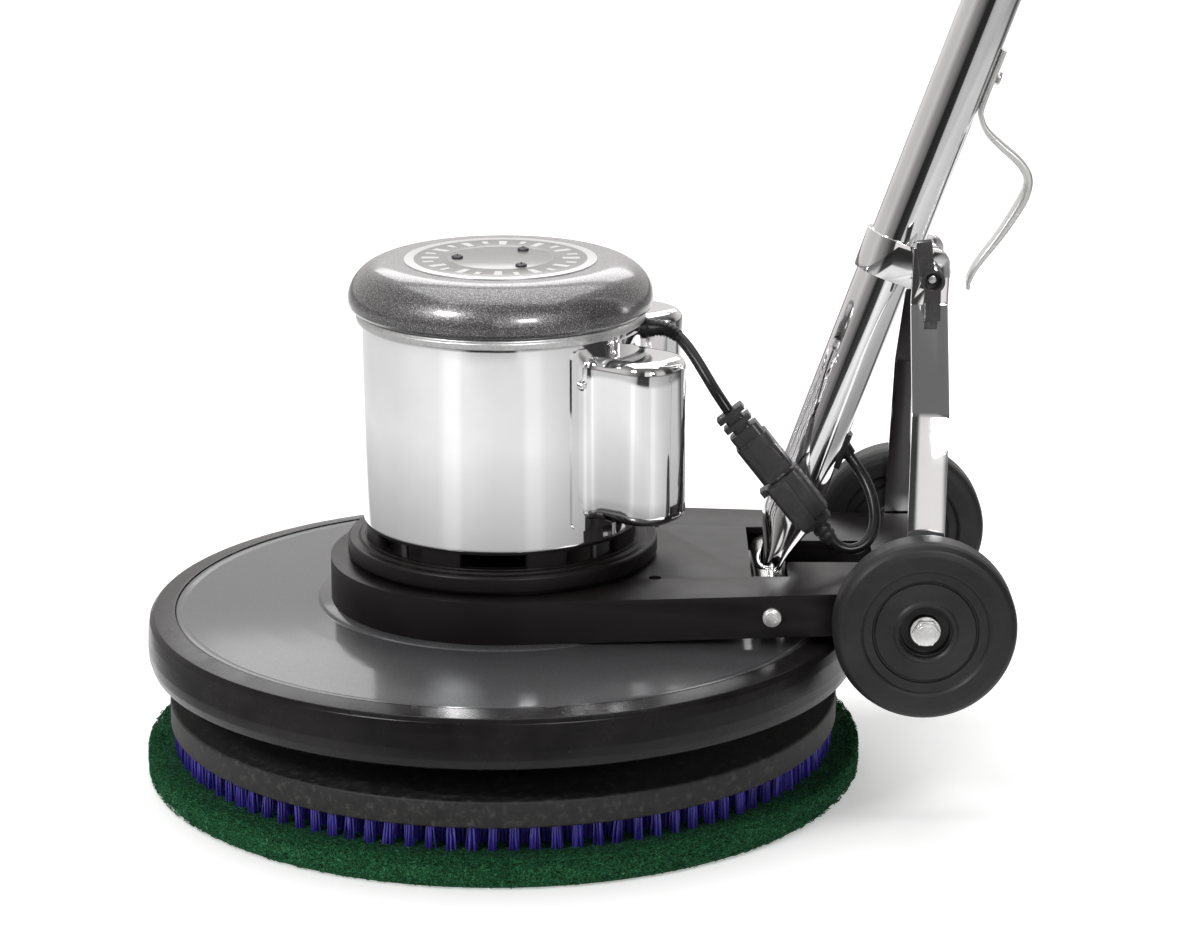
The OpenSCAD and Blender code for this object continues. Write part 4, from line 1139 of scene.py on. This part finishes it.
def floor_material():
    """White where the camera looks, with a painted glow there that lifts the shadows; outside its view, soft
    grey wedges of painted shade for the chrome to mirror.
    """
    s = Shader("pale_floor", (0.93, 0.93, 0.93), 0.85, Specular_IOR_Level=0.1)
    turn = s.tree.nodes.new("ShaderNodeTexGradient")
    turn.gradient_type = "RADIAL"
    s.link(s.coordinates, turn.inputs["Vector"])
    close = s.ramp(turn.outputs["Fac"],
                   (0.0, 0.48), (0.07, 0.52), (0.115, 0.54), (0.132, 0.64), (0.158, 0.66), (0.172, 0.57),
                   (0.24, 0.54), (0.298, 0.56), (0.312, 0.66), (0.335, 0.66), (0.35, 0.58), (0.4, 0.5),
                   (0.47, 0.42), (0.535, 0.4), (0.548, 0.08), (0.57, 0.08), (0.585, 0.5), (0.7, 0.9),
                   (0.8, 0.5), (0.88, 0.46), (0.95, 0.48), (1.0, 0.48))
    far = s.ramp(turn.outputs["Fac"],
                 (0.0, 0.5), (0.1, 0.55), (0.165, 0.45), (0.19, 0.04), (0.283, 0.03), (0.294, 0.7),
                 (0.353, 0.66), (0.417, 0.54), (0.45, 0.5), (0.481, 0.34), (0.52, 0.33), (0.545, 0.07),
                 (0.57, 0.07), (0.6, 0.28), (0.64, 0.4), (0.75, 0.8), (0.88, 0.5), (1.0, 0.5))
    split = s.tree.nodes.new("ShaderNodeSeparateXYZ")
    s.link(s.coordinates, split.inputs["Vector"])
    reach = s.tree.nodes.new("ShaderNodeVectorMath")
    reach.operation = "LENGTH"
    s.link(s.coordinates, reach.inputs[0])
    away = reach.outputs["Value"]
    fall = s.span(away, 0.68, 1.5, 0.62, 1.02)
    # painted shade: grey and near-black wedges on the floor outside the view, for the chrome to mirror
    painted_shade_wedges = s.mix(s.span(away, 0.0, 1.0, 1.36, 1.5), s.mix(1.0, close, fall, "MULTIPLY"), far)
    near = s.span(split.outputs["Y"], 1.0, 0.0, -0.44, -0.35)
    offset = s.tree.nodes.new("ShaderNodeMath")
    offset.operation = "SUBTRACT"
    offset.inputs[1].default_value = VIEW_MIDDLE
    s.link(split.outputs["X"], offset.inputs[0])
    aside = s.tree.nodes.new("ShaderNodeMath")
    aside.operation = "ABSOLUTE"
    s.link(offset.outputs[0], aside.inputs[0])
    spread = s.tree.nodes.new("ShaderNodeMath")
    spread.operation = "MULTIPLY_ADD"
    spread.inputs[1].default_value = -VIEW_SPREAD
    s.link(split.outputs["Y"], spread.inputs[0])
    s.link(aside.outputs[0], spread.inputs[2])
    beside = s.span(spread.outputs[0], 0.0, 1.0, 0.44, 0.52)
    outside = s.tree.nodes.new("ShaderNodeMath")
    outside.operation = "MAXIMUM"
    s.link(near, outside.inputs[0])
    s.link(beside, outside.inputs[1])
    s.color(s.mix(outside.outputs[0], (0.93, 0.93, 0.93), painted_shade_wedges))
    # painted light: the floor glows where the camera looks, which lifts the shadows under the machine
    glow = s.mix(outside.outputs[0], (0.37, 0.37, 0.37), (0.0, 0.0, 0.0))
    s.link(glow, s.bsdf.inputs["Emission Color"])
    s.set("Emission Strength", 1.0)
    return s.material


def make_studio():
    stage_plane("floor", 60.0, floor_material(), Matrix.Translation((0, 0, -0.2 * MM)))
    soft_light("key", (-1.75, -1.8, 2.1), (0.05, 0, 0.15), 0.8, 0.7, 30)
    soft_light("left_glint", (-1.7, -1.78, 2.02), (0, 0, 0.35), 0.68, 0.5, 36, glint=True)
    soft_light("right_glint", (0.9, -2.25, 1.2), (0, 0, 0.35), 0.56, 0.42, 26, glint=True)
    soft_light("overhead", (0.1, 0.7, 3.2), (0.1, 0.1, 0), 3.4, 3.0, 82)
    soft_light("back", (0.2, 3.4, 2.2), (0.1, 0.6, 0.0), 3.0, 1.4, 38)
    make_world()
    bpy.context.scene.view_settings.view_transform = "Standard"


make_studio()
